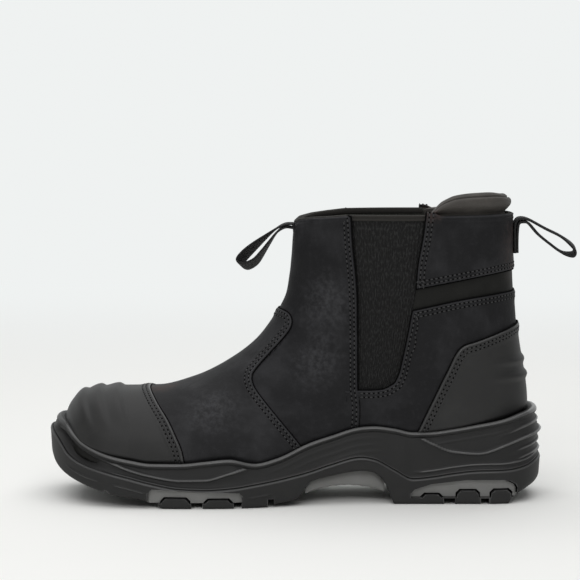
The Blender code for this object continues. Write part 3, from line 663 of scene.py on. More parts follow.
@dataclass(frozen=True)
class Finish:
    """A plain finish that others build on."""

    colour: Colour
    roughness: float
    specular: float = 0.35

    def material(self, name: str) -> bpy.types.Material:
        """Makes the material.

        Args:
            name: Its name.

        Returns:
            The material.
        """
        graph = Graph(name)
        graph.set(Base_Color=self.colour, Roughness=self.roughness, Specular_IOR_Level=self.specular)
        self.paint(graph)
        return graph.material

    def paint(self, graph: Graph) -> None:
        """Adds the finish's own detail."""


@dataclass(frozen=True)
class Leather(Finish):
    """Oiled nubuck: cloudy lighter rubs, fine grain, paler edges from wear and a painted pink highlight."""

    rub: Colour = (0.030, 0.030, 0.034)
    grain: float = 1.1
    grain_depth: float = 0.10
    cloud: float = 26.0
    nap: float = 3.2
    nap_depth: float = 2.2
    nap_roughness: float = 0.25
    cloud_gloss: float = 0.05
    worn_from: Point2 = (0.1, 0.4)
    worn_to: Point2 = (0.9, 1.7)
    shares: Point3 = (0.45, 0.3, 0.5)
    # The first spot, behind the top of the toe cap, is a painted pink highlight; the others make the leather
    # browner.
    warm_tint_and_glint: Colour = (0.052, 0.036, 0.032)
    warm_tint_and_glint_spots: tuple[Spot, ...] = (
        (-181.0, -6.0, 70.0, 15.0), (-14.0, -38.0, 180.0, 9.0), (-14.0, 38.0, 180.0, 9.0),
        (44.0, 0.0, 156.0, 32.0),
    )
    scuff: Colour = (0.053, 0.053, 0.057)
    scuffs: tuple[Spot, ...] = (
        (-84.0, -40.0, 124.0, 30.0), (-87.0, -45.0, 91.0, 30.0), (-150.0, -48.0, 66.0, 28.0),
    )

    def paint(self, graph: Graph) -> None:
        """Clouds, nap and grain, with wear by the distance to a cut edge, lighter scuffs, browner patches and
        a painted highlight.

        Args:
            graph: The material's node tree.
        """
        place = graph.place()
        cloud = graph.noise(place, self.cloud, detail=4.0, rough=0.6).between(low=0.42, high=0.72)
        nap = graph.noise(place, self.nap, detail=3.0, rough=0.65)
        edge = graph.attribute("edge")
        wear = edge.between(*self.worn_from) * (1 - edge.between(*self.worn_to))
        by_cloud, by_nap, by_wear = self.shares
        share = cloud * by_cloud + nap.between(low=0.45, high=0.8) * by_nap + wear * by_wear
        scuff = graph.near(place, self.scuffs) * nap.between(low=0.25, high=0.75)
        # painted highlight at the first spot, browner leather at the others
        warm_tint_and_glint = graph.near(place, self.warm_tint_and_glint_spots) * nap.between(low=0.3, high=0.7)
        rubbed = graph.mix(share, self.colour, self.rub)
        graph.set(Base_Color=graph.mix(warm_tint_and_glint, graph.mix(scuff, rubbed, self.scuff), self.warm_tint_and_glint))
        graph.set(Roughness=self.roughness + (nap - 0.5) * self.nap_roughness - cloud * self.cloud_gloss)
        fine = graph.bump(graph.cells(place, self.grain, "SMOOTH_F1"), self.grain_depth, strength=0.8)
        graph.set(Normal=graph.bump(nap, self.grain_depth * self.nap_depth, strength=0.5, over=fine))


@dataclass(frozen=True)
class Moulded(Finish):
    """Moulded rubber: a fine matte texture, faint flow clouds and a light dust."""

    texture: float = 0.5
    texture_depth: float = 0.04
    dust: Colour = (0.045, 0.044, 0.043)
    dust_share: float = 0.25
    flow: float = 14.0
    speck: float = 0.9
    flow_roughness: float = 0.18
    speck_roughness: float = 0.1

    def paint(self, graph: Graph) -> None:
        """Texture in the bump and dust in the colour.

        Args:
            graph: The material's node tree.
        """
        place = graph.place()
        flow = graph.noise(place, self.flow, detail=4.0, rough=0.6)
        speck = graph.noise(place, self.speck, detail=2.0, rough=0.6)
        dusty = flow.between(low=0.4, high=0.8) * self.dust_share
        dusty = dusty + speck.between(low=0.62, high=0.8) * self.dust_share
        graph.set(Base_Color=graph.mix(dusty, self.colour, self.dust))
        uneven = (flow - 0.5) * self.flow_roughness
        graph.set(Roughness=self.roughness + uneven + (speck - 0.5) * self.speck_roughness)
        graph.set(Normal=graph.bump(graph.cells(place, self.texture), self.texture_depth, strength=0.7))


@dataclass(frozen=True)
class Ridged(Moulded):
    """Moulded rubber whose ridges and rolled edges are paler and glossier: partly polishing by wear, partly a
    painted highlight.
    """

    polish_and_highlight: Colour = (0.075, 0.075, 0.075)
    reach: tuple[float, float] = (0.5, 5.0)
    gloss: float = 0.8
    gloss_roughness: float = 0.2

    def paint(self, graph: Graph) -> None:
        """Adds a paler and glossier line along each ridge; the paler colour is partly polishing by wear and
        partly a painted highlight.

        Args:
            graph: The material's node tree.
        """
        super().paint(graph)
        polished_and_highlit = 1 - graph.attribute("edge").between(*self.reach)
        dull = Value(graph, graph.shader.inputs["Base Color"].links[0].from_socket)
        # paler colour along ridges: partly polishing by wear, partly painted highlight
        graph.set(Base_Color=graph.mix(polished_and_highlit, dull, self.polish_and_highlight), Coat_Weight=polished_and_highlit * self.gloss)
        graph.set(Coat_Roughness=self.gloss_roughness)


@dataclass(frozen=True)
class Elastic(Finish):
    """Ribbed elastic cloth with its ribs along the shaft."""

    thread: float = 0.9
    thread_depth: float = 0.12
    thread_share: float = 0.15
    light: Colour = (0.028, 0.028, 0.028)
    fuzz: float = 1.0
    fuzz_depth: float = 0.35
    fuzz_stretch: Point3 = (1.0, 0.4, 1.0)

    def paint(self, graph: Graph) -> None:
        """Short cross threads in each rib and a slight fuzz.

        Args:
            graph: The material's node tree.
        """
        layout = graph.layout()
        cross = graph.waves(layout, self.thread, "Y")
        fuzz = graph.noise(graph.stretched(layout, self.fuzz_stretch), self.fuzz, detail=2.0, rough=0.6)
        share = cross * self.thread_share + fuzz.between(low=0.46, high=0.66)
        graph.set(Base_Color=graph.mix(share, self.colour, self.light))
        threads = graph.bump(cross, self.thread_depth, strength=0.6)
        graph.set(Normal=graph.bump(fuzz, self.fuzz_depth, strength=0.7, over=threads))


@dataclass(frozen=True)
class Cloth(Finish):
    """Plain woven cloth or webbing with a weave in the piece's own layout."""

    pitch: float = 1.2
    light: Colour = (0.03, 0.03, 0.03)
    turn: float = 0.0
    depth: float = 0.15
    weave_share: float = 0.7
    fuzz: float = 0.8
    fuzz_share: float = 0.25
    fuzz_height: float = 0.4

    def paint(self, graph: Graph) -> None:
        """Two sets of crossing threads.

        Args:
            graph: The material's node tree.
        """
        layout = graph.stretched(graph.layout(), (1.0, 1.0, 1.0), self.turn)
        weave = graph.waves(layout, self.pitch, "X") * graph.waves(layout, self.pitch, "Y")
        fuzz = graph.noise(layout, self.fuzz, detail=2.0, rough=0.6)
        share = weave * self.weave_share + fuzz * self.fuzz_share
        graph.set(Base_Color=graph.mix(share, self.colour, self.light))
        graph.set(Normal=graph.bump(weave + fuzz * self.fuzz_height, self.depth, strength=0.8))


class Finishes(Enum):
    """Every finish of the boot."""

    LEATHER = Leather((0.0100, 0.0100, 0.0112), 0.68, 0.19, (0.034, 0.034, 0.037))
    VAMP = Leather((0.0160, 0.0160, 0.0172), 0.70, 0.18, (0.042, 0.042, 0.045))
    FLEX = Leather((0.0086, 0.0086, 0.0076), 0.66, 0.20, (0.018, 0.018, 0.017), 0.8, 0.06)
    PAD = Leather((0.060, 0.055, 0.050), 0.60, 0.25, (0.104, 0.095, 0.087), 0.9, 0.07)
    CAP = Ridged((0.0215, 0.0215, 0.0215), 0.54, 0.30, polish_and_highlight=(0.05, 0.05, 0.05), reach=(0.8, 1.6), gloss=0.3)
    MIDSOLE = Ridged((0.0262, 0.0262, 0.0262), 0.52, 0.16, 0.7, 0.012, (0.034, 0.034, 0.034), 0.2, gloss=0.6)
    TREAD = Ridged((0.0275, 0.0275, 0.0275), 0.60, 0.18, 0.6, 0.03, gloss=0.5)
    GREY = Moulded((0.210, 0.210, 0.204), 0.55, 0.35, 0.6, 0.04, (0.30, 0.30, 0.295), 0.3)
    ELASTIC = Elastic((0.0100, 0.0100, 0.0100), 0.85, 0.18)
    LINING = Cloth((0.030, 0.031, 0.027), 0.9, 0.2, 1.6, (0.055, 0.056, 0.050))
    BINDING = Cloth((0.018, 0.017, 0.015), 0.8, 0.25, 0.8, (0.052, 0.048, 0.044))
    INSOLE = Cloth((0.020, 0.020, 0.021), 0.9, 0.2, 1.8, (0.04, 0.04, 0.04), 0.785)
    WEBBING = Cloth((0.0100, 0.0100, 0.0100), 0.75, 0.3, 1.1, (0.028, 0.028, 0.028), 0.6)
    THREAD = Moulded((0.034, 0.034, 0.035), 0.55, 0.4, 0.35, 0.02)
    # Near-black for pinholes and for the beads of painted shadow along panel edges.
    HOLE = Finish((0.002, 0.002, 0.002), 0.9, 0.1)

    def material(self) -> bpy.types.Material:
        """The finish's material, made at its first use."""
        name = f"boot_{self.name.lower()}"
        return bpy.data.materials.get(name) or self.value.material(name)


def lay_grid(
    name: str, points: Array, uv: Array | None = None, edge: Array | None = None
) -> Piece:
    """Makes a mesh from a flat grid whose vertices are moved onto a surface.

    Args:
        name: Name of the piece.
        points: Places in millimetres, by line and by point along each line.
        uv: Layout over the surface in millimetres, in the same order.
        edge: Distance to the nearest cut edge in millimetres, in the same order.

    Returns:
        The object, with doubled points merged and faces in the grid's own turn.
    """
    lines, count = points.shape[:2]
    bm = bmesh.new()
    uv_layer = bm.loops.layers.uv.new("layout")
    bmesh.ops.create_grid(bm, x_segments=count - 1, y_segments=lines - 1, size=1.0)
    edge_layer = bm.verts.layers.float.new("edge")
    where = {}
    for vert in bm.verts:
        i = round((vert.co.y + 1) / 2 * (lines - 1))
        j = round((vert.co.x + 1) / 2 * (count - 1))
        where[vert] = (i, j)
        vert.co = points[i, j] * MM
        vert[edge_layer] = NO_EDGE if edge is None else float(edge[i, j])
    if uv is not None:
        for face in bm.faces:
            for loop in face.loops:
                loop[uv_layer].uv = uv[where[loop.vert]] * MM
    bmesh.ops.remove_doubles(bm, verts=bm.verts, dist=MERGE * MM)
    return add_piece(name, bm)


def add_piece(name: str, bm: bmesh.types.BMesh) -> Piece:
    """Turns a bmesh in metres into an object of the scene.

    Args:
        name: Name of the piece.
        bm: Its mesh, which is freed.

    Returns:
        The piece.
    """
    mesh = bpy.data.meshes.new(name)
    bm.to_mesh(mesh)
    bm.free()
    mesh.shade_smooth()
    piece = bpy.data.objects.new(name, mesh)
    bpy.context.scene.collection.objects.link(piece)
    return piece


def turn_out(piece: Piece, place: Array, outward: Sequence[float]) -> None:
    """Turns over all faces of an open piece if the one nearest a place faces inwards.

    Args:
        piece: The piece.
        place: The place in millimetres.
        outward: Direction out of the boot there.
    """
    near = min(piece.data.polygons, key=lambda face: (face.center - Vector(place) * MM).length)
    if near.normal.dot(Vector(outward)) < 0:
        piece.data.flip_normals()


def close_up(piece: Piece, ends: bool = False) -> None:
    """Points the faces of a closed piece outwards.

    Args:
        piece: The piece.
        ends: Whether its open ends are filled first.
    """
    bm = bmesh.new()
    bm.from_mesh(piece.data)
    if ends:
        bmesh.ops.holes_fill(bm, edges=bm.edges)
    bmesh.ops.recalc_face_normals(bm, faces=bm.faces)
    bm.to_mesh(piece.data)
    bm.free()
    piece.data.shade_smooth()


def sweep(name: str, points: Array, line: Array, around: Array) -> Piece:
    """Lays a swept section as one closed piece with its layout along and round it.

    Args:
        name: Name of the piece.
        points: Lines along the sweep, one for each point of the section.
        line: Points of the route, which give the length along it.
        around: Places round the section for each line or point.

    Returns:
        The piece.
    """
    along = run_length(line)[None, :] * np.ones(points.shape[:2])
    piece = lay_grid(name, points, np.stack([along, np.broadcast_to(around, along.shape)], axis=-1))
    close_up(piece, ends=True)
    return piece


def thicken(piece: Piece, thickness: float, inner_material: int = 0) -> None:
    """Gives an open piece a wall towards its inside.

    Args:
        piece: The piece.
        thickness: Thickness of the wall.
        inner_material: Step to the material of its inner face.
    """
    wall = piece.modifiers.new("wall", "SOLIDIFY")
    wall.thickness = thickness * MM
    wall.offset = -1.0
    wall.material_offset = inner_material
    wall.material_offset_rim = inner_material


def settle(piece: Piece) -> None:
    """Applies a piece's modifiers to its mesh.

    Args:
        piece: The piece.
    """
    bpy.context.view_layer.update()
    graph = bpy.context.evaluated_depsgraph_get()
    evaluated = piece.evaluated_get(graph)
    mesh = bpy.data.meshes.new_from_object(evaluated, preserve_all_data_layers=True, depsgraph=graph)
    piece.modifiers.clear()
    piece.data = mesh


def cut(piece: Piece, cutter: Piece) -> None:
    """Cuts a piece by a closed cutter, which is then removed.

    Args:
        piece: The piece.
        cutter: The cutter.
    """
    boolean = piece.modifiers.new("cut", "BOOLEAN")
    boolean.operation = "DIFFERENCE"
    boolean.solver = "EXACT"
    boolean.object = cutter
    settle(piece)
    bpy.data.objects.remove(cutter)


def add_prisms(prisms: Sequence[tuple[Sequence[Point2], float, float]]) -> Piece:
    """Closed prisms as one piece, each given by a side-view outline and two y.

    Args:
        prisms: Outline and two y of each prism.

    Returns:
        The piece.
    """
    bm = bmesh.new()
    edge_layer = bm.verts.layers.float.new("edge")
    for outline, y_from, y_to in prisms:
        face = bm.faces.new([bm.verts.new(Vector((x, y_from, z)) * MM) for x, z in outline])
        drawn = bmesh.ops.extrude_face_region(bm, geom=[face])["geom"]
        moved = [item for item in drawn if isinstance(item, bmesh.types.BMVert)]
        bmesh.ops.translate(bm, vec=Vector((0.0, y_to - y_from, 0.0)) * MM, verts=moved)
    for vert in bm.verts:
        vert[edge_layer] = NO_EDGE
    bmesh.ops.recalc_face_normals(bm, faces=bm.faces)
    return add_piece("prisms", bm)


def finish_piece(piece: Piece, nodes: Sequence[str], slot: str, *finishes: Finishes) -> None:
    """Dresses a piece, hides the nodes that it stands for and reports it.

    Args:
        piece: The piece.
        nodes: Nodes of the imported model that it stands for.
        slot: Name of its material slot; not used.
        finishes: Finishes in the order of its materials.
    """
    held = piece.data.materials
    for number, finish in enumerate(finishes):
        if number < len(held):
            held[number] = finish.material()
        else:
            held.append(finish.material())
    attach(piece, BODY)
    if nodes:
        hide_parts(*nodes)
    LOG.info("%s: %d faces", piece.name, len(piece.data.polygons))


@dataclass(frozen=True)
class Layer:
    """Heights of a panel over the last: its middle, its sewn edge and the layer under that edge."""

    middle: float
    edge: float
    under: float
    roll: float = 1.0
    sewn: Point2 = (3.0, 8.0)
    rows: tuple[float, ...] = (1.9, 4.3)
    trough: float = 0.4
    trough_width: float = 0.75

    def height(self, distance: Array) -> Array:
        """Height of the panel's face, pulled in along its rows of stitches.

        Args:
            distance: Distance from the cut edge.

        Returns:
            Height over the last.
        """
        rise = self.edge + (self.middle - self.edge) * soft_step(distance, *self.sewn)
        share = np.sqrt(1 - (1 - np.clip(distance / self.roll, 0.0, 1.0)) ** 2)
        pulled = sum(np.exp(-(((distance - row) / self.trough_width) ** 2)) for row in self.rows)
        return self.under + (rise - self.under) * share - self.trough * pulled


@dataclass(frozen=True)
class Crease:
    """A soft trough in the side view from one point to another, with a ridge beside it."""

    start: Point2
    end: Point2
    width: float
    depth: float
    fade_in: Point2 = (-0.1, 0.3)
    fade_out: Point2 = (0.7, 1.1)
    ridge_place: float = 1.9
    ridge_width: float = 1.2
    ridge_share: float = 0.55

    def depth_at(self, x: Array, z: Array) -> Array:
        """Change of height at points of the side view.

        Args:
            x: Places along the boot.
            z: Heights.

        Returns:
            The change, below 0 in the trough.
        """
        a, b = np.array(self.start), np.array(self.end)
        run = b - a
        length = np.linalg.norm(run)
        along = ((x - a[0]) * run[0] + (z - a[1]) * run[1]) / length**2
        across = ((x - a[0]) * run[1] - (z - a[1]) * run[0]) / (length * self.width)
        fade = soft_step(along, *self.fade_in) * (1 - soft_step(along, *self.fade_out))
        ridge = np.exp(-(((across - self.ridge_place) / self.ridge_width) ** 2))
        return fade * self.depth * (self.ridge_share * ridge - np.exp(-(across**2)))


@dataclass
class BeadRow:
    """A row of stitches, or a cord of painted shadow along a cut edge: points, outward directions and height.
    """

    points: Array
    normals: Array
    tall: float

    def places(self, pitch: float) -> tuple[Array, Array]:
        """Even places along the seam.

        Args:
            pitch: Distance between them.

        Returns:
            The places, and their axes as columns: along the seam, across it and out.
        """
        length = run_length(self.points)
        count = max(int(length[-1] / pitch), 1)
        at = (np.arange(count) + 0.5) * length[-1] / count
        rows = ((at, self.points), (at + 0.5, self.points), (at - 0.5, self.points), (at, self.normals))
        middle, ahead, behind, up = (
            np.column_stack([np.interp(places, length, values) for values in table.T])
            for places, table in rows
        )
        run, up = unit(ahead - behind), unit(up)
        return middle, np.stack([run, unit(np.cross(up, run)), up], axis=-1)


@dataclass
class Stitching:
    """All stitches of the boot, their pinholes and the near-black beads of painted shadow along panel edges,
    as one piece.
    """

    pitch: float = 2.9
    length: float = 2.0
    radius: float = 0.5
    flatness: float = 0.8
    bead_sides: int = 6
    bead_rings: int = 4
    hole: float = 0.7
    hole_flatness: float = 0.7
    hole_sink: float = 0.18
    shadow_gap: float = 0.25
    shadow_pitch: float = 1.6
    shadow_radius: float = 0.4
    seams: list[BeadRow] = field(default_factory=list)
    shadows: list[BeadRow] = field(default_factory=list)

    def sew(self) -> None:
        """Lays a short thread and a needle hole at each pitch of every seam, and near-black beads of painted
        shadow along each edge.
        """
        threads, holes_and_shadow_cords = [], []
        thread = np.array([self.length / 2, self.radius, self.radius * self.flatness])
        hole = self.hole * np.array([1.0, 1.0, self.hole_flatness])
        for seam in self.seams:
            middle, axes = seam.places(self.pitch)
            threads.append((middle, axes * thread))
            ends = middle + axes[..., 0] * self.pitch / 2 - axes[..., 2] * self.hole_sink
            holes_and_shadow_cords.append((ends, axes * hole))
        # painted shadow: near-black beads along the panels' edges, where their shadow falls
        for seam in self.shadows:
            middle, axes = seam.places(self.shadow_pitch)
            holes_and_shadow_cords.append((middle, axes * np.array([self.shadow_pitch, self.shadow_radius, seam.tall])))
        piece = self.joined_beads([*threads, *holes_and_shadow_cords], sum(len(middle) for middle, _ in threads))
        finish_piece(piece, (), "leather", Finishes.THREAD, Finishes.HOLE)

    def joined_beads(self, rows: Sequence[tuple[Array, Array]], threads: int) -> Piece:
        """Copies one small bead to many places as one mesh.

        Args:
            rows: Places and scaled axes of the beads.
            threads: How many of the first beads are thread; the rest are pinholes and beads of painted
                shadow.

        Returns:
            The joined piece, with thread, and a near-black finish for pinholes and painted shadow, as its two
            materials.
        """
        bm = bmesh.new()
        bmesh.ops.create_uvsphere(bm, u_segments=self.bead_sides, v_segments=self.bead_rings, radius=1.0)
        shape, faces = np.array([vert.co for vert in bm.verts]), len(bm.faces)
        middles, axes = (np.concatenate(part) for part in zip(*rows))
        piece = add_piece("stitching", bm)
        copies = piece.modifiers.new("copies", "ARRAY")
        copies.count = len(middles)
        copies.relative_offset_displace = (0.0, 0.0, 0.0)
        settle(piece)
        points = middles[:, None] + np.einsum("nij,kj->nki", axes, shape)
        piece.data.vertices.foreach_set("co", (points * MM).ravel())
        holes_and_shadow_cords = np.arange(len(middles)) >= threads
        piece.data.polygons.foreach_set("material_index", np.repeat(holes_and_shadow_cords, faces).astype(np.int32))
        piece.data.update()
        return piece


@dataclass
class Panel:
    """A sheet laid on the last between two lines."""

    name: str
    nodes: tuple[str, ...]
    slot: str
    finish: Finishes
    start: Trace
    end: Trace
    layer: Layer
    lines: int
    steps: int
    edges: str
    thickness: float
    sewn: str = ""
    relief: Callable[[Array], Array] | None = None
    sewn_behind: float = -300.0
    sink: float = 2.4
    fine: tuple[float, ...] = (0.0, 0.08, 0.3, 0.65, 1.05, 1.5, 2.0, 2.6, 3.3, 4.0, 4.7, 5.6)
    shortest: float = 14.0
    trial_steps: int = 48
    trace_steps: int = 240
    edge_steps: int = 900
    seam_steps: int = 500
    relief_fade: float = 5.0
    sink_range: Point2 = (-2.0, 1.5)
    thread_lift: float = 0.12
    shadow_trim: float = 0.2
    shadow_drop: float = 0.1

    def spread(self, length: Array, count: int, at_start: bool, at_end: bool) -> Array:
        """Shares along a line of a length, close together at the edges that show.

        Args:
            length: Length of the line.
            count: How many shares.
            at_start: Whether its start shows.
            at_end: Whether its end shows.

        Returns:
            The shares, from 0 to 1.
        """
        fine = np.array(self.fine)
        first = fine / length if at_start else np.array([0.0])
        last = 1 - fine[::-1] / length if at_end else np.array([1.0])
        middle = np.linspace(first[-1], last[0], max(count - len(first) - len(last), 2) + 2)[1:-1]
        return np.concatenate([first, middle, last])

    def places(self) -> tuple[Array, Array]:
        """Rows and angles of the sheet's grid, by line and by point along each line.

        Returns:
            Rows and angles.
        """
        start, end = LAST.spaced(self.start, self.trace_steps), LAST.spaced(self.end, self.trace_steps)
        even = np.linspace(0.0, 1.0, self.trace_steps)
        width = run_length(LAST.point(start.rows, start.angles))[-1]
        across = self.spread(width, self.lines, "side" in self.edges, "side" in self.edges)
        start, end = start.read(even, across), end.read(even, across)
        trial = np.linspace(0.0, 1.0, self.trial_steps)
        rows, angles = [], []
        for row_a, angle_a, row_b, angle_b in zip(start.rows, start.angles, end.rows, end.angles):
            line = LAST.point(row_a + (row_b - row_a) * trial, angle_a + (angle_b - angle_a) * trial)
            length = run_length(line)
            total = max(length[-1], 1.0)
            shown = "start" in self.edges, "end" in self.edges
            share = self.spread(max(total, self.shortest), self.steps, *shown)
            share = np.interp(share * total, length, trial)
            rows.append(row_a + (row_b - row_a) * share)
            angles.append(angle_a + (angle_b - angle_a) * share)
        return np.array(rows), np.array(angles)

    def edge_lines(self, names: str, rows: Array, angles: Array) -> list[tuple[Trace, Trace]]:
        """The named edges of a grid, each with the line just inside it.

        Args:
            names: Names of edges: start, end or side.
            rows: Rows of the grid.
            angles: Its angles.

        Returns:
            Pairs of lines.
        """
        pick = {
            "start": [(np.s_[:, 0], np.s_[:, 1])],
            "end": [(np.s_[:, -1], np.s_[:, -2])],
            "side": [(np.s_[0, :], np.s_[1, :]), (np.s_[-1, :], np.s_[-2, :])],
        }
        found = [pair for name in names.split() for pair in pick[name]]
        return [(Trace(rows[a], angles[a]), Trace(rows[b], angles[b])) for a, b in found]

    def distance(self, rows: Array, angles: Array) -> Array:
        """Distance of every point of the grid to the nearest edge that shows.

        Args:
            rows: Rows of the grid.
            angles: Its angles.

        Returns:
            The distances in millimetres.
        """
        shown = self.edge_lines(self.edges, rows, angles)
        if not shown:
            return np.full(rows.shape, FAR_FROM_EDGE)
        dense = [LAST.spaced(line, self.edge_steps) for line, _ in shown]
        line = np.vstack([LAST.point(t.rows, t.angles) for t in dense])
        tree = KDTree(len(line))
        for i, point in enumerate(line):
            tree.insert(point, i)
        tree.balance()
        flat = LAST.point(rows, angles).reshape(-1, 3)
        return np.array([tree.find(point)[2] for point in flat]).reshape(rows.shape)

    def height(self, points: Array, distance: Array) -> Array:
        """Height of the sheet's face over the last.

        Args:
            points: Points on the last.
            distance: Their distances to an edge.

        Returns:
            The heights.
        """
        height = self.layer.height(distance)
        if self.relief:
            height = height + self.relief(points) * soft_step(distance, 0.0, self.relief_fade)
        below = SOLE.line("lip", points[..., 0]) - points[..., 2]
        return height - self.sink * soft_step(below, *self.sink_range)

    def build(self, stitching: Stitching) -> None:
        """Makes the sheet, its seams and the painted shadow along its sewn edges.

        Args:
            stitching: Takes the seams.
        """
        rows, angles = self.places()
        distance = self.distance(rows, angles)
        base = LAST.point(rows, angles)
        outward = LAST.outward(rows, angles)
        points = base + outward * self.height(base, distance)[..., None]
        along = np.stack([run_length(line) for line in base])
        across = np.stack([run_length(line) for line in base.swapaxes(0, 1)], axis=1)
        piece = lay_grid(self.name, points, np.stack([across, along], axis=-1), distance)
        middle = len(base) // 2, base.shape[1] // 2
        turn_out(piece, base[middle], outward[middle])
        thicken(piece, self.thickness)
        finish_piece(piece, self.nodes, self.slot, self.finish)
        for line, inner in self.edge_lines(self.sewn, rows, angles):
            self.sew(line, inner, stitching)

    def sew(self, line: Trace, inner: Trace, stitching: Stitching) -> None:
        """Adds the seams that run beside an edge, inside the sheet, and a cord of painted shadow just outside
        it.

        Args:
            line: The edge.
            inner: The line just inside it.
            stitching: Takes the seams.
        """
        even = LAST.spaced(line, self.seam_steps)
        length = run_length(LAST.point(line.rows, line.angles))
        inner = inner.read(length, np.linspace(0.0, length[-1], self.seam_steps))
        edge = LAST.point(even.rows, even.angles)
        run = unit(np.gradient(edge, axis=0))
        inwards = LAST.point(inner.rows, inner.angles) - edge
        inwards = unit(inwards - run * (inwards * run).sum(-1, keepdims=True))
        behind = edge[:, 0] > self.sewn_behind
        parts = np.split(np.arange(len(edge)), np.flatnonzero(np.diff(behind)) + 1)
        parts = [part for part in parts if behind[part[0]]]
        for away in (-stitching.shadow_gap, *self.layer.rows):
            rows, angles = LAST.walk(even.rows, even.angles, inwards * away)
            points, normals = LAST.point(rows, angles), LAST.outward(rows, angles)
            height = self.height(points, np.full(len(rows), max(away, 0.0))) + self.thread_lift
            tall = stitching.radius
            # painted shadow: a near-black cord just outside the edge, about as tall as the step
            if away < 0:
                tall = (self.layer.edge - self.layer.under) / 2 - self.shadow_trim
                height = height + tall - self.shadow_drop
            points = points + normals * height[:, None]
            rows_of = stitching.seams if away > 0 else stitching.shadows
            rows_of.extend(BeadRow(points[part], normals[part], tall) for part in parts)


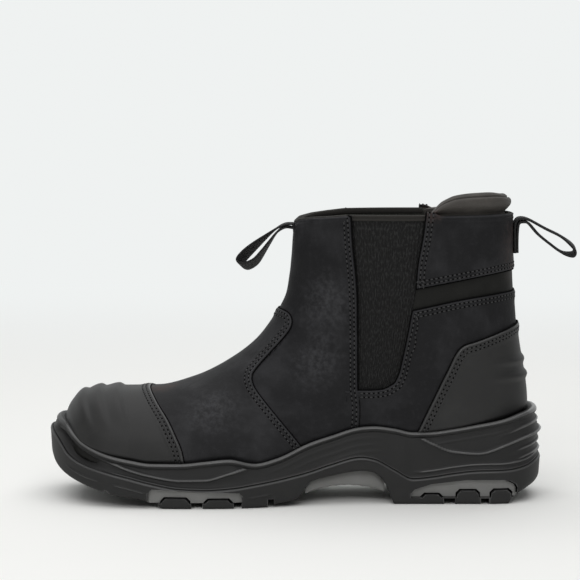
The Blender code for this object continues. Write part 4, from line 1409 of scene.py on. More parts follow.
@dataclass
class Upper:
    """The wall of the boot, its panels and its elastic sides."""

    wall: float = 2.2
    tuck: float = 6.0
    collar: Line2 = (
        (-290.0, 168.0), (-99.0, 168.5), (-97.0, 172.0), (-93.5, 174.8), (-87.0, 176.2), (-78.0, 177.1),
        (-66.0, 178.2), (110.0, 178.4),
    )
    cap_edge: Line2 = (
        (-202.0, 90.0), (-194.5, 74.4), (-187.3, 67.5), (-181.4, 60.2), (-175.8, 52.7), (-171.2, 44.0),
        (-167.4, 35.0), (-164.5, 21.0),
    )
    vamp_edge: Line2 = (
        (-135.0, 119.5), (-112.0, 118.6), (-104.0, 117.2), (-100.6, 114.0), (-100.6, 108.5), (-106.0, 100.8),
        (-121.8, 83.6), (-124.7, 78.2), (-123.4, 73.0), (-118.2, 65.7), (-96.7, 39.7), (-88.0, 28.0),
    )
    gore_front: Line2 = ((-59.2, 70.3), (-59.5, 127.0), (-62.3, 159.5), (-64.2, 190.0))
    gore_foot: Line2 = ((-59.2, 70.3), (-50.0, 70.4), (-42.6, 71.4), (-36.4, 74.9))
    gore_rear: Line2 = (
        (-36.4, 74.9), (-33.4, 81.9), (-29.9, 98.0), (-25.6, 121.0), (-21.0, 148.0), (-16.4, 190.0),
    )
    quarter_top: Line2 = (
        (-25.8, 120.0), (-20.1, 121.2), (3.2, 126.0), (25.9, 128.9), (37.7, 130.0), (70.0, 133.0),
    )
    counter_edge: Line2 = (
        (-23.5, 41.0), (-21.7, 45.4), (-9.5, 71.1), (-3.5, 83.4), (1.2, 93.0), (6.0, 98.0), (15.6, 100.9),
        (39.5, 108.8), (70.0, 119.5),
    )
    band_edge: Line2 = (
        (-23.6, 133.4), (6.9, 138.8), (25.9, 141.8), (37.8, 143.2), (70.0, 147.0),
    )
    seam_foot: Point2 = (-59.4, 34.0)
    rib_pitch: float = 1.9
    rib_height: float = 0.4
    knit_pitch: float = 4.4
    knit_turn: float = 2.4
    binding_front: float = 1.5
    binding_gore: float = 0.5
    binding_inside: float = 2.9
    binding_tall: float = 3.8
    binding_over: float = 0.5
    binding_groove: float = 0.7
    bulge: float = 1.1
    corner_rise: float = 2.4
    back_bulge: float = 0.8
    ridges: tuple[Point3, ...] = ((-231.5, 4.4, 1.5), (-221.0, 4.6, 1.6), (-209.5, 4.8, 1.6))
    ridge_lean: float = 0.42
    ridge_top: float = 66.0
    claws: tuple[Point3, ...] = ((86.5, 3.8, 1.4), (77.0, 3.8, 1.6))
    vamp_creases: tuple[Crease, ...] = (
        Crease((-150.0, 70.0), (-128.0, 60.0), 5.0, 0.55),
        Crease((-143.0, 78.0), (-126.0, 66.0), 4.0, 0.45),
        Crease((-162.0, 62.0), (-140.0, 46.0), 7.0, 0.5),
        Crease((-171.0, 65.0), (-153.0, 62.5), 1.5, 0.4),
        Crease((-166.0, 61.5), (-150.0, 61.0), 1.5, 0.3),
    )
    shaft_creases: tuple[Crease, ...] = (
        Crease((-102.0, 127.0), (-76.0, 114.0), 6.0, 0.8),
        Crease((-99.0, 140.0), (-80.0, 136.0), 7.0, 0.5),
        Crease((-112.0, 88.0), (-92.0, 72.0), 7.0, 0.6),
        Crease((-90.0, 60.0), (-70.0, 56.0), 6.0, 0.4),
    )
    heel_creases: tuple[Crease, ...] = (
        Crease((-34.0, 66.0), (-12.0, 78.0), 6.0, 0.5),
        Crease((-50.0, 60.0), (-24.0, 56.0), 5.0, 0.35),
    )
    collar_ends: Point2 = (-99.5, 40.0)
    collar_steps: int = 160
    lip_steps: int = 80
    wall_lines: int = 150
    wall_columns: int = 181
    toe_row: float = 0.999
    feather_ends: Point2 = (-241.0, 60.0)
    feather_steps: int = 400
    feather_lift: float = 0.3
    heel_reach: float = 0.02
    lining_size: Point2 = (130.0, 400.0)
    side_row: float = 10.0
    notch_step: int = 3
    far: float = 90.0
    back_bulge_x: Point2 = (20.0, 34.0)
    back_bulge_z: Point2 = (95.0, 115.0)
    bulge_x: Point2 = (84.0, 96.0)
    bulge_z: Point2 = (128.0, 150.0)
    ridge_fade: Point2 = (44.0, 60.0)
    ridge_slopes: Point2 = (1.9, 0.75)
    claw_fade: Point2 = (20.0, 40.0)
    cap_lift: float = 2.8
    cap_overlap: float = 6.0
    vamp_lift: float = 2.6
    vamp_overlap: float = 7.0
    counter_lift: float = 2.4
    band_lift: float = 1.5
    collar_gap: float = 0.5
    corner_fade: Point2 = (-15.5, -8.0)
    quarter_corner: Point2 = (-67.0, 70.0)
    toe_ends: Point2 = (-164.5, -243.0)
    quarter_ends: Point2 = (-67.0, 58.0)
    counter_ends: Point2 = (-23.5, 58.0)
    gore_corners: tuple[Point2, Point2] = ((-61.6, 65.0), (-34.0, 65.0))
    gore_tuck: float = 2.6
    gore_half_width: float = 23.0
    gore_depth: float = 0.8
    gore_starts: Point2 = (-67.5, -65.5)
    knit_shares: Point2 = (0.6, 0.4)
    binding_lap: float = 1.5
    binding_steps: int = 260
    binding_sides: int = 41
    binding_power: float = 0.6
    binding_width: float = 9.0
    groove_half: float = 0.6

    def collar_z(self, x: Array) -> Array:
        """Height of the collar at places x."""
        return np.interp(x, *zip(*self.collar))

    def lip_line(self, from_x: float, to_x: float, below: float) -> Trace:
        """A line on the last under the lip of the sole."""
        x = np.linspace(from_x, to_x, self.lip_steps)
        return LAST.trace(list(zip(x, SOLE.line("lip", x) - below)), soft=False)

    def collar_line(self, from_x: float, to_x: float) -> Trace:
        """A line on the last along the collar."""
        x = np.linspace(from_x, to_x, self.collar_steps)
        return LAST.trace(list(zip(x, self.collar_z(x))), soft=False)

    def below_collar(self, points: Sequence[Point2]) -> list[Point2]:
        """A soft line of the side view, cut off at the collar."""
        line = rounded(points)
        return [tuple(point) for point in line[line[:, 1] <= self.collar_z(line[:, 0])]]

    @staticmethod
    def relief_of(creases: Sequence[Crease]) -> Callable[[Array], Array]:
        """The change of height that creases make."""
        return lambda points: sum(crease.depth_at(points[..., 0], points[..., 2]) for crease in creases)

    def cap_relief(self, points: Array) -> Array:
        """Height of the soft ridges across the top of the cap.

        Args:
            points: Points on the last.

        Returns:
            The heights.
        """
        fade = soft_step(points[..., 2], *self.ridge_fade)
        before, after = self.ridge_slopes
        relief = np.zeros(points.shape[:-1])
        for place, half, height in self.ridges:
            past = points[..., 0] - place - self.ridge_lean * (self.ridge_top - points[..., 2])
            relief += height * soft_step(past, -before * half, 0.0) * (1 - soft_step(past, 0.0, after * half))
        return fade * relief

    def front_bulge(self, points: Array) -> Array:
        """How far the top of the shaft stands out at its front."""
        high = self.bulge * soft_step(points[..., 2], *self.bulge_z)
        return high * soft_step(-points[..., 0], *self.bulge_x)

    def shaft_relief(self, points: Array) -> Array:
        """Creases and fullness of the front panel."""
        return self.relief_of(self.shaft_creases)(points) + self.front_bulge(points)

    def claw_relief(self, points: Array) -> Array:
        """Height of the claws round the back of the counter, sharp above and soft below."""
        fade = soft_step(points[..., 0], *self.claw_fade)
        return fade * sum(height * bell(points[..., 2] - place, half) for place, half, height in self.claws)

    @staticmethod
    def over_front(edge: Sequence[Point2], lift: float, forward: float = 0.0) -> Trace:
        """An edge carried over the front to the inner side, moved forward where it is hidden."""
        return LAST.trace([(x - forward, z) for x, z in edge[::-1]], lift=lift).both_sides(Crossing.FRONT)

    def build_wall(self) -> None:
        """The hollow wall with its lining, open at the collar, underneath and at both gores."""
        collar = self.collar_line(*self.collar_ends).both_sides(Crossing.BACK)
        half = len(collar.rows) // 2
        share = np.linspace(0.0, 1.0, self.wall_lines)[:, None]
        around = np.linspace(-1.0, 1.0, self.wall_columns)[None, :]
        top = np.interp(np.abs(around) * math.pi, collar.angles[:half], collar.rows[:half])
        rows = -self.toe_row + share * (top + self.toe_row)
        x = np.linspace(*self.feather_ends, self.feather_steps)
        feather = LAST.trace(list(zip(x, SOLE.line("footbed", x) + self.feather_lift)), soft=False)
        limit = np.interp(rows, feather.rows, feather.angles, right=math.pi)
        limit = np.where(rows > feather.rows[-1] - self.heel_reach, math.pi, limit)
        angles = around * limit
        points = LAST.point(rows, angles)
        full = self.back_bulge * soft_step(points[..., 0], *self.back_bulge_x)
        full = full * soft_step(points[..., 2], *self.back_bulge_z)
        points = points + LAST.outward(rows, angles) * full[..., None]
        width, height = self.lining_size
        uv = np.stack(np.broadcast_arrays(around * width, share * height), axis=-1)
        piece = lay_grid("upper_wall", points, uv)
        side = (np.array(self.side_row), np.array(math.pi / 2))
        turn_out(piece, LAST.point(*side), LAST.outward(*side))
        thicken(piece, self.wall, 1)
        front = rounded(self.gore_front)[::-1]
        notch = [*rounded(self.gore_foot)[:-1], *rounded(self.gore_rear), *front[:-1]]
        piece.data.materials.append(Finishes.FLEX.material())
        piece.data.materials.append(Finishes.LINING.material())
        cut(piece, add_prisms([(notch[:: self.notch_step], -self.far, self.far)]))
        finish_piece(piece, ("upper",), "flex_leather", Finishes.FLEX, Finishes.LINING)

    def build_panels(self, stitching: Stitching) -> None:
        """Toe cap, vamp, quarters, counter and collar band.

        Args:
            stitching: Takes the seams of the panels.
        """
        front, back = Crossing.FRONT, Crossing.BACK
        cap_edge = self.over_front(self.cap_edge, self.cap_lift)
        hidden_cap = self.over_front(self.cap_edge, self.cap_lift, self.cap_overlap)
        vamp_edge = self.over_front(self.vamp_edge, self.vamp_lift)
        hidden_vamp = self.over_front(self.vamp_edge, self.vamp_lift, self.vamp_overlap)
        gore_front = self.below_collar(self.gore_front)
        gore_rear = self.below_collar(self.gore_rear)
        shaft_top = self.collar_line(gore_front[-1][0] - self.collar_gap, self.collar_ends[0])
        shaft_edge = LAST.trace([self.seam_foot, *gore_front], soft=False).joined(shaft_top).both_sides(front)
        beside_gore = [point for point in gore_rear if point[1] < self.quarter_top[0][1]]
        line = [self.quarter_corner, *rounded(self.gore_foot), *beside_gore, *rounded(self.quarter_top)]
        quarter_edge = LAST.trace(line, soft=False).both_sides(back)
        counter_edge = LAST.trace(self.counter_edge, lift=self.counter_lift).both_sides(back)
        band_edge = LAST.trace(self.band_edge, lift=self.band_lift).both_sides(back)
        x = np.linspace(gore_rear[-1][0], self.collar_ends[1], self.collar_steps)
        corner = self.collar_z(x) + self.corner_rise * (1 - soft_step(x, *self.corner_fade))
        collar_back = LAST.trace(list(zip(x, corner)), soft=False).both_sides(back)
        toe_line = self.lip_line(*self.toe_ends, self.tuck).both_sides(front)
        quarter_foot = self.lip_line(*self.quarter_ends, self.tuck).both_sides(back)
        counter_foot = self.lip_line(*self.counter_ends, self.tuck).both_sides(back)
        leather, cap = Finishes.LEATHER, Finishes.CAP
        panels = (
            Panel(
                "vamp_panel", ("vamp",), "leather", Finishes.VAMP, hidden_cap, vamp_edge,
                Layer(middle=2.1, edge=3.0, under=1.4, roll=1.2),
                lines=170, steps=74, edges="end", thickness=1.4, sewn="end",
                relief=self.relief_of(self.vamp_creases),
            ),
            Panel(
                "toe_cap_shell", ("toe_cap",), "cap_rubber", cap, toe_line, cap_edge,
                Layer(middle=2.1, edge=3.0, under=1.7, roll=1.3, rows=(2.7, 5.0), trough=0.5),
                lines=190, steps=84, edges="end", thickness=1.6, sewn="end", relief=self.cap_relief,
            ),
            Panel(
                "front_quarter_panel", ("front_quarter",), "leather", leather, hidden_vamp, shaft_edge,
                Layer(middle=1.5, edge=2.3, under=-0.6, roll=1.2),
                lines=250, steps=70, edges="end", thickness=1.2, sewn="end",
                relief=self.shaft_relief, sewn_behind=-65.6,
            ),
            Panel(
                "back_quarter_panel", ("back_quarter",), "leather", leather, quarter_edge, quarter_foot,
                Layer(middle=1.4, edge=2.1, under=-0.5),
                lines=260, steps=56, edges="start", thickness=1.2, sewn="start",
                relief=self.relief_of(self.heel_creases), sewn_behind=-58.4,
            ),
            Panel(
                "heel_counter_shell", ("heel_counter",), "cap_rubber", cap, counter_edge, counter_foot,
                Layer(middle=2.3, edge=3.3, under=1.2, roll=1.4, rows=(2.7, 4.9), trough=0.5),
                lines=200, steps=70, edges="start", thickness=1.4, sewn="start", relief=self.claw_relief,
            ),
            Panel(
                "collar_band_panel", ("collar_band",), "leather", leather, band_edge, collar_back,
                Layer(middle=1.9, edge=2.3, under=-0.3),
                lines=190, steps=50, edges="start side end", thickness=1.2, sewn="start side",
            ),
        )
        for panel in panels:
            panel.build(stitching)

    def build_gores(self) -> None:
        """Ribbed elastic in both notches, tucked under the leather round it."""
        front_corner, rear_corner = self.gore_corners
        front = [front_corner, *((x - self.gore_tuck, z) for x, z in self.gore_front)]
        rear = [rear_corner, *((x + self.gore_tuck, z) for x, z in self.gore_rear)]
        front, rear = (LAST.trace(self.below_collar(line), soft=False) for line in (front, rear))
        even, swing = self.knit_shares
        for name, sign in (("outer", 1), ("inner", -1)):
            start, end = (Trace(line.rows, line.angles * sign) for line in (front, rear))
            panel = Panel(
                f"gore_{name}_cloth", (f"gore_{name}",), "elastic", Finishes.ELASTIC, start, end,
                Layer(middle=0.0, edge=0.0, under=0.0), lines=120, steps=150, edges="", thickness=1.2,
            )
            rows, angles = panel.places()
            base = LAST.point(rows, angles)
            across = np.linspace(-self.gore_half_width, self.gore_half_width, rows.shape[1])
            across = across[None, :] * np.ones(rows.shape)
            along = run_length(base[:, 0])[:, None] * np.ones(rows.shape)
            phase = np.round(across / self.rib_pitch) * self.knit_turn
            knit = even + swing * np.cos(FULL_TURN * along / self.knit_pitch + phase)
            rib = self.rib_height * np.cos(FULL_TURN * across / self.rib_pitch) * knit
            points = base + LAST.outward(rows, angles) * (rib - self.gore_depth)[..., None]
            piece = lay_grid(panel.name, points, np.stack([across, along], axis=-1))
            middle = len(base) // 2, base.shape[1] // 2
            turn_out(piece, base[middle], (0.0, -sign, 0.0))
            thicken(piece, panel.thickness, 1)
            finish_piece(piece, panel.nodes, panel.slot, panel.finish, Finishes.LINING)

    def build_binding(self) -> None:
        """Tape folded over the top of the front panel and the gores, from band to band round the front."""
        rear_x = self.below_collar(self.gore_rear)[-1][0] + self.binding_lap
        line = self.collar_line(rear_x, self.collar_ends[0]).both_sides(Crossing.FRONT)
        line = LAST.spaced(line, self.binding_steps)
        place, outward = LAST.point(line.rows, line.angles), LAST.outward(line.rows, line.angles)
        gore = soft_step(place[:, 0], *self.gore_starts)
        out = self.binding_front + (self.binding_gore - self.binding_front) * gore + self.front_bulge(place)
        half = (out + self.binding_inside) / 2
        rings = []
        for across, up in zip(*squared_ring(self.binding_sides, self.binding_power)):
            groove = self.binding_groove * bell(up, self.groove_half) * (across > 0)
            ring = place + outward * ((out - half) + half * across - groove)[:, None]
            ring[:, 2] += self.binding_tall * (up - 1) / 2 + self.binding_over
            rings.append(ring)
        around = np.linspace(0.0, self.binding_width, len(rings))[:, None]
        piece = sweep("collar_binding", np.array(rings), place, around)
        finish_piece(piece, (), "lining", Finishes.BINDING)

    def build(self, stitching: Stitching) -> None:
        """Builds the whole upper.

        Args:
            stitching: Takes the seams.
        """
        self.build_binding()
        self.build_wall()
        self.build_panels(stitching)
        self.build_gores()


@dataclass(frozen=True)
class Rib:
    """A raised line on the side of the sole beside one of its height lines, between two soft ends."""

    line: str
    above: float
    half_width: float
    height: float
    starts: Point2 = (-420.0, -410.0)
    stops: Point2 = (410.0, 420.0)

    def raised(self, x: Array, z: Array, lines: dict[str, Array]) -> Array:
        """How far the rib stands out at places x and heights z."""
        fade = soft_step(x, *self.starts) * (1 - soft_step(x, *self.stops))
        return fade * self.height * bell(z - lines[self.line] - self.above, self.half_width)


@dataclass(frozen=True)
class Window:
    """A grey block's opening: foot of its teeth, upper edge, lugs as (x, x, top) and depth each side."""

    base: float
    upper_edge: Line2
    lugs: tuple[Point3, ...]
    deep: Point2
    chamfer: float = 2.2
    gap: float = 0.7

    def outline(self) -> list[Point2]:
        """The side view of the opening, a strip over the lugs with teeth down between them.

        Returns:
            Points of the outline.
        """
        points = [(self.upper_edge[-1][0], self.base)]
        for rear, front, top in self.lugs:
            rear, front, top = rear - self.gap, front + self.gap, top - self.gap
            points += [(rear, self.base), (rear, top - self.chamfer), (rear - self.chamfer, top)]
            points += [(front + self.chamfer, top), (front, top - self.chamfer), (front, self.base)]
        return [*points, (self.upper_edge[0][0], self.base), *self.upper_edge]


@dataclass
class Sole:
    """Midsole cup, outsole and insole."""

    bead_radius: float = 1.7
    toe_bead: float = -0.3
    # Edge mark at the toe tip, where the bead's painted highlight is fainter.
    tip_mark: float = 3.4
    tip_starts: Point2 = (237.0, 246.0)
    bead_inset: float = 5.1
    toe_reach: float = 2.2
    heel_reach: float = 1.4
    wall_top: float = 4.1
    wall_rows: int = 84
    shoulder: float = 3.3
    toe_shoulder: float = 1.6
    toe_hollow: float = 4.2
    heel_shoulder: float = 0.9
    waist_shoulder: float = 4.2
    foot_inset: float = 1.5
    rim: float = 1.3
    # Edge marks down the outsole's rim: a paler, glossier line, partly polishing and partly painted
    # highlight.
    rim_marks: tuple[float, ...] = (7.0, 4.5, 3.0, 2.4, 2.4, 4.0)
    edge_radius: float = 2.4
    heel_radius: float = 7.2
    insole_thickness: float = 4.0
    groove_depth: float = 3.8
    spine_half_width: float = 15.0
    far: float = 75.0
    arch_ends: Point2 = (-91.5, -42.5)
    arch_inset: float = 8.0
    arch_sunk: float = 1.0
    arch_foot: float = 5.6
    arch_rise: float = 4.4
    waist_starts: Point2 = (-127.0, -119.0)
    waist_stops: Point2 = (-28.0, -22.0)
    buttress: tuple[float, float, float, float] = (-31.0, 6.5, 0.9, 1.6)
    toe_turn: Point2 = (190.0, 228.0)
    heel_turn: Point2 = (25.0, 50.0)
    tip_turn: Point2 = (238.0, 250.0)
    counter_turn: Point2 = (36.0, 54.0)
    hollow_starts: Point2 = (214.0, 232.0)
    hollow_stops: Point2 = (245.0, 251.0)
    bead_fade: Point2 = (200.0, 226.0)
    bead_turn: Point2 = (0.55, -0.45)
    bead_steps: int = 13
    bead_overlap: float = 0.4
    least: float = 0.5
    wall_hollow: float = 0.7
    waist_flat: float = 0.6
    cup_foot: Point2 = (11.5, 0.4)
    cup_inside: Line2 = ((11.5, -9.0), (8.6, -2.6), (6.7, -0.4))
    part_gap: float = 0.15
    under_inset: float = 5.0
    under_drop: float = 0.05
    rim_lift: float = 0.1
    heel_round: Point2 = (38.0, 52.0)
    side_rows: int = 28
    batter: float = 0.6
    round_rows: int = 9
    sharp_angle: float = math.radians(35.0)
    arch_steps: int = 70
    arch_least: float = 0.4
    arch_sides: int = 33
    arch_power: float = 0.3
    scallop: float = 0.25
    scallop_turn: float = 14.0
    groove_foot: float = -9.0
    centre_depth: float = 3.0
    centre_gap: float = 0.6
    long_top: float = 3.0
    long_half: float = 1.6
    insole_ends: Point2 = (-236.0, 42.0)
    insole_steps: int = 130
    insole_columns: int = 50
    insole_lift: float = 0.3
    insole_shares: Point2 = (0.02, 0.995)
    insole_inset: float = 3.2
    insole_cup: float = 2.2
    insole_cover: float = 3.2
    ribs: tuple[Rib, ...] = (
        Rib("crest", 0.0, 1.4, 1.7, (-226.0, -204.0), (-124.0, -116.0)),
        Rib("crest", 0.0, 1.4, 1.7, (-32.0, -22.0)),
        Rib("part", 4.2, 1.2, 1.0, (-27.0, -17.0)),
        Rib("part", 1.0, 1.0, 0.7, (-222.0, -206.0)),
        Rib("lip", -7.6, 1.3, 0.35, (-16.0, -4.0)),
        Rib("lip", -7.0, 1.8, 0.25, (-118.0, -104.0), (-52.0, -40.0)),
        Rib("lip", -11.4, 1.6, 0.2, (-104.0, -90.0), (-52.0, -40.0)),
        Rib("lip", -15.4, 1.6, 0.2, (-84.0, -72.0), (-50.0, -40.0)),
        Rib("crest", -6.2, 1.5, 1.0, (34.0, 47.0)),
        Rib("crest", -11.4, 1.5, 1.0, (34.0, 47.0)),
        Rib("crest", 6.6, 1.5, 0.9, (22.0, 44.0)),
    )
    bumper_ribs: tuple[Rib, ...] = (
        Rib("part", -6.6, 1.0, 0.75, (-242.0, -232.0), (-219.0, -216.0)),
        Rib("part", -6.2, 1.0, 0.75, (-211.0, -208.0), (-191.0, -189.0)),
        Rib("part", -7.2, 1.0, 0.6, (-128.0, -124.0), (-115.0, -111.0)),
        Rib("part", -0.9, 1.0, 0.5),
    )
    windows: tuple[Window, ...] = (
        Window(
            3.2,
            ((-188.0, 9.4), (-185.4, 12.2), (-160.0, 11.0), (-132.0, 9.8), (-130.0, 7.6)),
            ((-136.2, -153.6, 6.0), (-162.2, -180.2, 6.8)),
            (44.0, 38.0),
        ),
        Window(
            4.2,
            (
                (-26.5, 6.8), (-24.0, 9.4), (-14.0, 12.6), (8.0, 15.2), (31.0, 15.1), (35.4, 14.2),
                (38.4, 12.4), (39.8, 9.8), (39.4, 7.4),
            ),
            ((36.4, 22.6, 9.2), (16.2, 1.6, 9.0), (-6.6, -20.2, 6.6)),
            (27.0, 26.0),
        ),
    )
    grooves: Line2 = (
        (-161.4, -154.4), (-135.4, -130.6), (-114.6, -110.8), (-6.0, 1.0), (16.8, 22.0),
    )
    centre_grooves: Line2 = (
        (-202.0, -198.6), (-174.0, -170.6), (-147.0, -143.6), (-124.0, -120.6), (-20.0, -16.6), (7.0, 10.4),
    )
    toe_notch: Line2 = ((-218.0, 6.0), (-207.0, 4.0), (-214.0, 10.9))
    long_grooves: Line2 = ((-206.0, -104.0), (-30.0, 32.0))

    def waist(self, x: Array) -> Array:
        """1 along the waist, where the wave ridge runs into the lip."""
        return soft_step(x, *self.waist_starts) * (1 - soft_step(x, *self.waist_stops))

    def lip_inset(self, x: Array) -> Array:
        """How far the middle of the lip bead lies in from the outline."""
        inset = self.bead_inset - self.toe_reach * soft_step(-x, *self.toe_turn)
        return inset - self.heel_reach * soft_step(x, *self.heel_turn)

    def ridges(self, x: Array, z: Array, lines: dict[str, Array]) -> Array:
        """How far the ribs stand out of the midsole's wall."""
        return sum(rib.raised(x, z, lines) for rib in self.ribs)

    def wall_inset(self, x: Array, z: Array, lines: dict[str, Array]) -> Array:
        """How far the midsole's wall lies in from the outline, with its ribs.

        Args:
            x: Places along the sole.
            z: Heights.
            lines: Heights of the lip, crest and parting line there.

        Returns:
            The inset in millimetres.
        """
        top, crest, part = lines["lip"] - self.wall_top, lines["crest"], lines["part"]
        upper = np.clip((top - z) / np.maximum(top - crest, self.least), 0.0, 1.0)
        lower = np.clip((crest - z) / np.maximum(crest - part, self.least), 0.0, 1.0)
        start = self.lip_inset(x) - self.bead_overlap
        waist = self.waist(x)
        shoulder = self.shoulder + (self.waist_shoulder - self.shoulder) * waist
        shoulder = shoulder + (self.toe_shoulder - self.shoulder) * soft_step(-x, *self.tip_turn)
        shoulder = shoulder + (self.heel_shoulder - self.shoulder) * soft_step(x, *self.counter_turn)
        over, under = start + (shoulder - start) * upper, shoulder + (self.foot_inset - shoulder) * lower
        inset = np.where(z > crest, over, under)
        inset = inset + self.wall_hollow * np.sin(math.pi * lower) * (1 - self.waist_flat * waist)
        below = np.clip((top - z) / np.maximum(top - part, self.least), 0.0, 1.0)
        hollow = soft_step(-x, *self.hollow_starts) * (1 - soft_step(-x, *self.hollow_stops))
        inset = inset + self.toe_hollow * hollow * np.sin(math.pi * below)
        place, half_width, height, tall = self.buttress
        swell = height * bell(x - place, half_width) * bell(z - (crest + part) / 2, (crest - part) / tall)
        return inset - self.ridges(x, z, lines) - swell

    def build_midsole(self) -> None:
        """The cup wall as a closed ring with lip bead, wave ridges and heel ribs."""
        loop, outward = SOLE.outline()
        x = loop[:, 0]
        lines = {name: SOLE.line(name, x) for name in ("lip", "crest", "part", "lean")}
        lip, part = lines["lip"], lines["part"]
        merged = lip - self.bead_radius
        lines["crest"] = lines["crest"] + (merged - lines["crest"]) * self.waist(x)
        foot_inset, foot_up = self.cup_foot
        profile = [(foot_inset, part + foot_up), *((inset, lip + up) for inset, up in self.cup_inside)]
        bead_inset = self.lip_inset(x)
        radius = self.bead_radius + self.toe_bead * soft_step(-x, *self.bead_fade)
        dull = np.full(len(x), NO_EDGE)
        edge = [dull] * len(profile)
        for turn in np.linspace(*self.bead_turn, self.bead_steps) * math.pi:
            profile.append((bead_inset - radius * math.cos(turn), lip - radius * (1 - math.sin(turn))))
            # upper half of the lip bead marked for the paler ridge colour: partly polishing, partly painted
            # highlight; weaker at the toe tip
            edge.append(self.tip_mark * soft_step(-x, *self.tip_starts) if turn > 0 else dull)
        top, bottom = lip - self.wall_top, part + self.part_gap
        for share in np.linspace(0.0, 1.0, self.wall_rows):
            z = top + (bottom - top) * share
            profile.append((self.wall_inset(x, z, lines), z))
            # ribs marked for the paler ridge colour: partly polishing, partly painted highlight
            edge.append(NO_EDGE * (1 - np.clip(self.ridges(x, z, lines), 0.0, 1.0)))
        profile.append((self.under_inset, bottom - self.under_drop))
        edge = np.array([*edge, dull, dull])
        rings = []
        for inset, z in [*profile, profile[0]]:
            height = np.clip((z - part) / np.maximum(lip - part, 1.0), 0.0, 1.0)
            place = loop - outward * (inset + lines["lean"] * height)[:, None]
            rings.append(np.column_stack([place, np.broadcast_to(z, len(x))]))
        points = np.array(rings)
        points = np.concatenate([points, points[:, :1]], axis=1)
        piece = lay_grid("midsole_cup", points, edge=np.concatenate([edge, edge[:, :1]], axis=1))
        close_up(piece)
        finish_piece(piece, ("midsole",), "midsole_rubber", Finishes.MIDSOLE)

    def outsole_rows(self, x: Array) -> list[tuple[Array, Array, Array]]:
        """Lines down the outsole's wall, from its rim to the tread.

        Args:
            x: Places round the outline.

        Returns:
            Inset, height and edge mark of each line.
        """
        lines = {name: SOLE.line(name, x) for name in ("part", "tread")}
        rim_top = lines["part"] + self.rim_lift
        rows = []
        for mark, turn in zip(self.rim_marks, np.linspace(0.0, 1.0, len(self.rim_marks)) * math.pi / 2):
            rows.append((self.rim * (1 - math.sin(turn)), rim_top - self.rim * (1 - math.cos(turn)), mark))
        radius = self.edge_radius + (self.heel_radius - self.edge_radius) * soft_step(x, *self.heel_round)
        top, bottom = rim_top - self.rim, lines["tread"] + radius
        for share in np.linspace(0.0, 1.0, self.side_rows)[1:]:
            z = top + (bottom - top) * share
            raised = sum(rib.raised(x, z, lines) for rib in self.bumper_ribs)
            # bumper ribs marked for the paler ridge colour: partly polishing, partly painted highlight
            rows.append((self.batter * share - raised, z, NO_EDGE * (1 - np.clip(raised, 0.0, 1.0))))
        for turn in np.linspace(0.0, 1.0, self.round_rows)[1:] * math.pi / 2:
            inset = self.batter + radius * (1 - math.cos(turn))
            rows.append((inset, bottom - radius * math.sin(turn), NO_EDGE))
        return [(np.broadcast_to(inset, len(x)), z, np.broadcast_to(mark, len(x))) for inset, z, mark in rows]

    def build_outsole(self) -> None:
        """The tread block with side windows, side grooves and a grooved middle."""
        loop, outward = SOLE.outline()
        count = len(loop) // 2 + 1
        stations = np.arange(count)
        pairs = np.where((stations == 0) | (stations == count - 1), stations, len(loop) - stations)
        rows = self.outsole_rows(loop[:, 0])
        lines = [np.column_stack([loop - outward * inset[:, None], z]) for inset, z, _ in rows]
        marks = [mark for _, _, mark in rows]
        outer, inner = ([line[side] for line in lines] for side in (stations, pairs))
        outer_marks, inner_marks = ([mark[side] for mark in marks] for side in (stations, pairs))
        share = np.linspace(0.0, 1.0, self.side_rows)[1:-1]
        under = [outer[-1] * (1 - s) + inner[-1] * s for s in share]
        over = [inner[0] * (1 - s) + outer[0] * s for s in share]
        points = np.array([*outer, *under, *inner[::-1], *over, outer[0]])
        plain = [np.full(count, NO_EDGE)] * len(share)
        edge = np.array([*outer_marks, *plain, *inner_marks[::-1], *plain, outer_marks[0]])
        piece = lay_grid("outsole_tread", points, edge=edge)
        close_up(piece)
        for window in self.windows:
            outline = window.outline()
            prisms = [(outline, -window.deep[0], -self.far), (outline, window.deep[1], self.far)]
            cut(piece, add_prisms(prisms))
        cut(piece, add_prisms(self.groove_prisms()))
        cut(piece, add_prisms(self.long_prisms()))
        piece.data.set_sharp_from_angle(angle=self.sharp_angle)
        finish_piece(piece, ("outsole",), "tread_rubber", Finishes.TREAD)

    def build_arch(self) -> None:
        """The grey block under the waist, arched and scalloped along its foot."""
        x = np.linspace(*self.arch_ends, self.arch_steps)
        outer, inner = SOLE.edges(x)
        share = np.linspace(-1.0, 1.0, len(x))
        top = SOLE.line("tread", x) + self.arch_sunk
        scallop = self.scallop * np.abs(np.sin(share * self.scallop_turn))
        foot = np.minimum(self.arch_foot + self.arch_rise * (1 - share**2) + scallop, top - self.arch_least)
        half = (inner - outer) / 2 - self.arch_inset
        rings = []
        for across, up in zip(*squared_ring(self.arch_sides, self.arch_power)):
            z = (top + foot) / 2 + (top - foot) / 2 * up
            rings.append(np.column_stack([x, (outer + inner) / 2 - half * across, z]))
        piece = lay_grid("arch_block", np.array(rings))
        close_up(piece, ends=True)
        finish_piece(piece, ("insert_arch",), "grey_rubber", Finishes.GREY)

    def groove_box(self, front: float, rear: float, depth: float) -> list[Point2]:
        """The side view of a groove up into the tread."""
        top = float(SOLE.line("tread", np.array([front, rear])).max()) + depth
        return [(front, self.groove_foot), (rear, self.groove_foot), (rear, top), (front, top)]

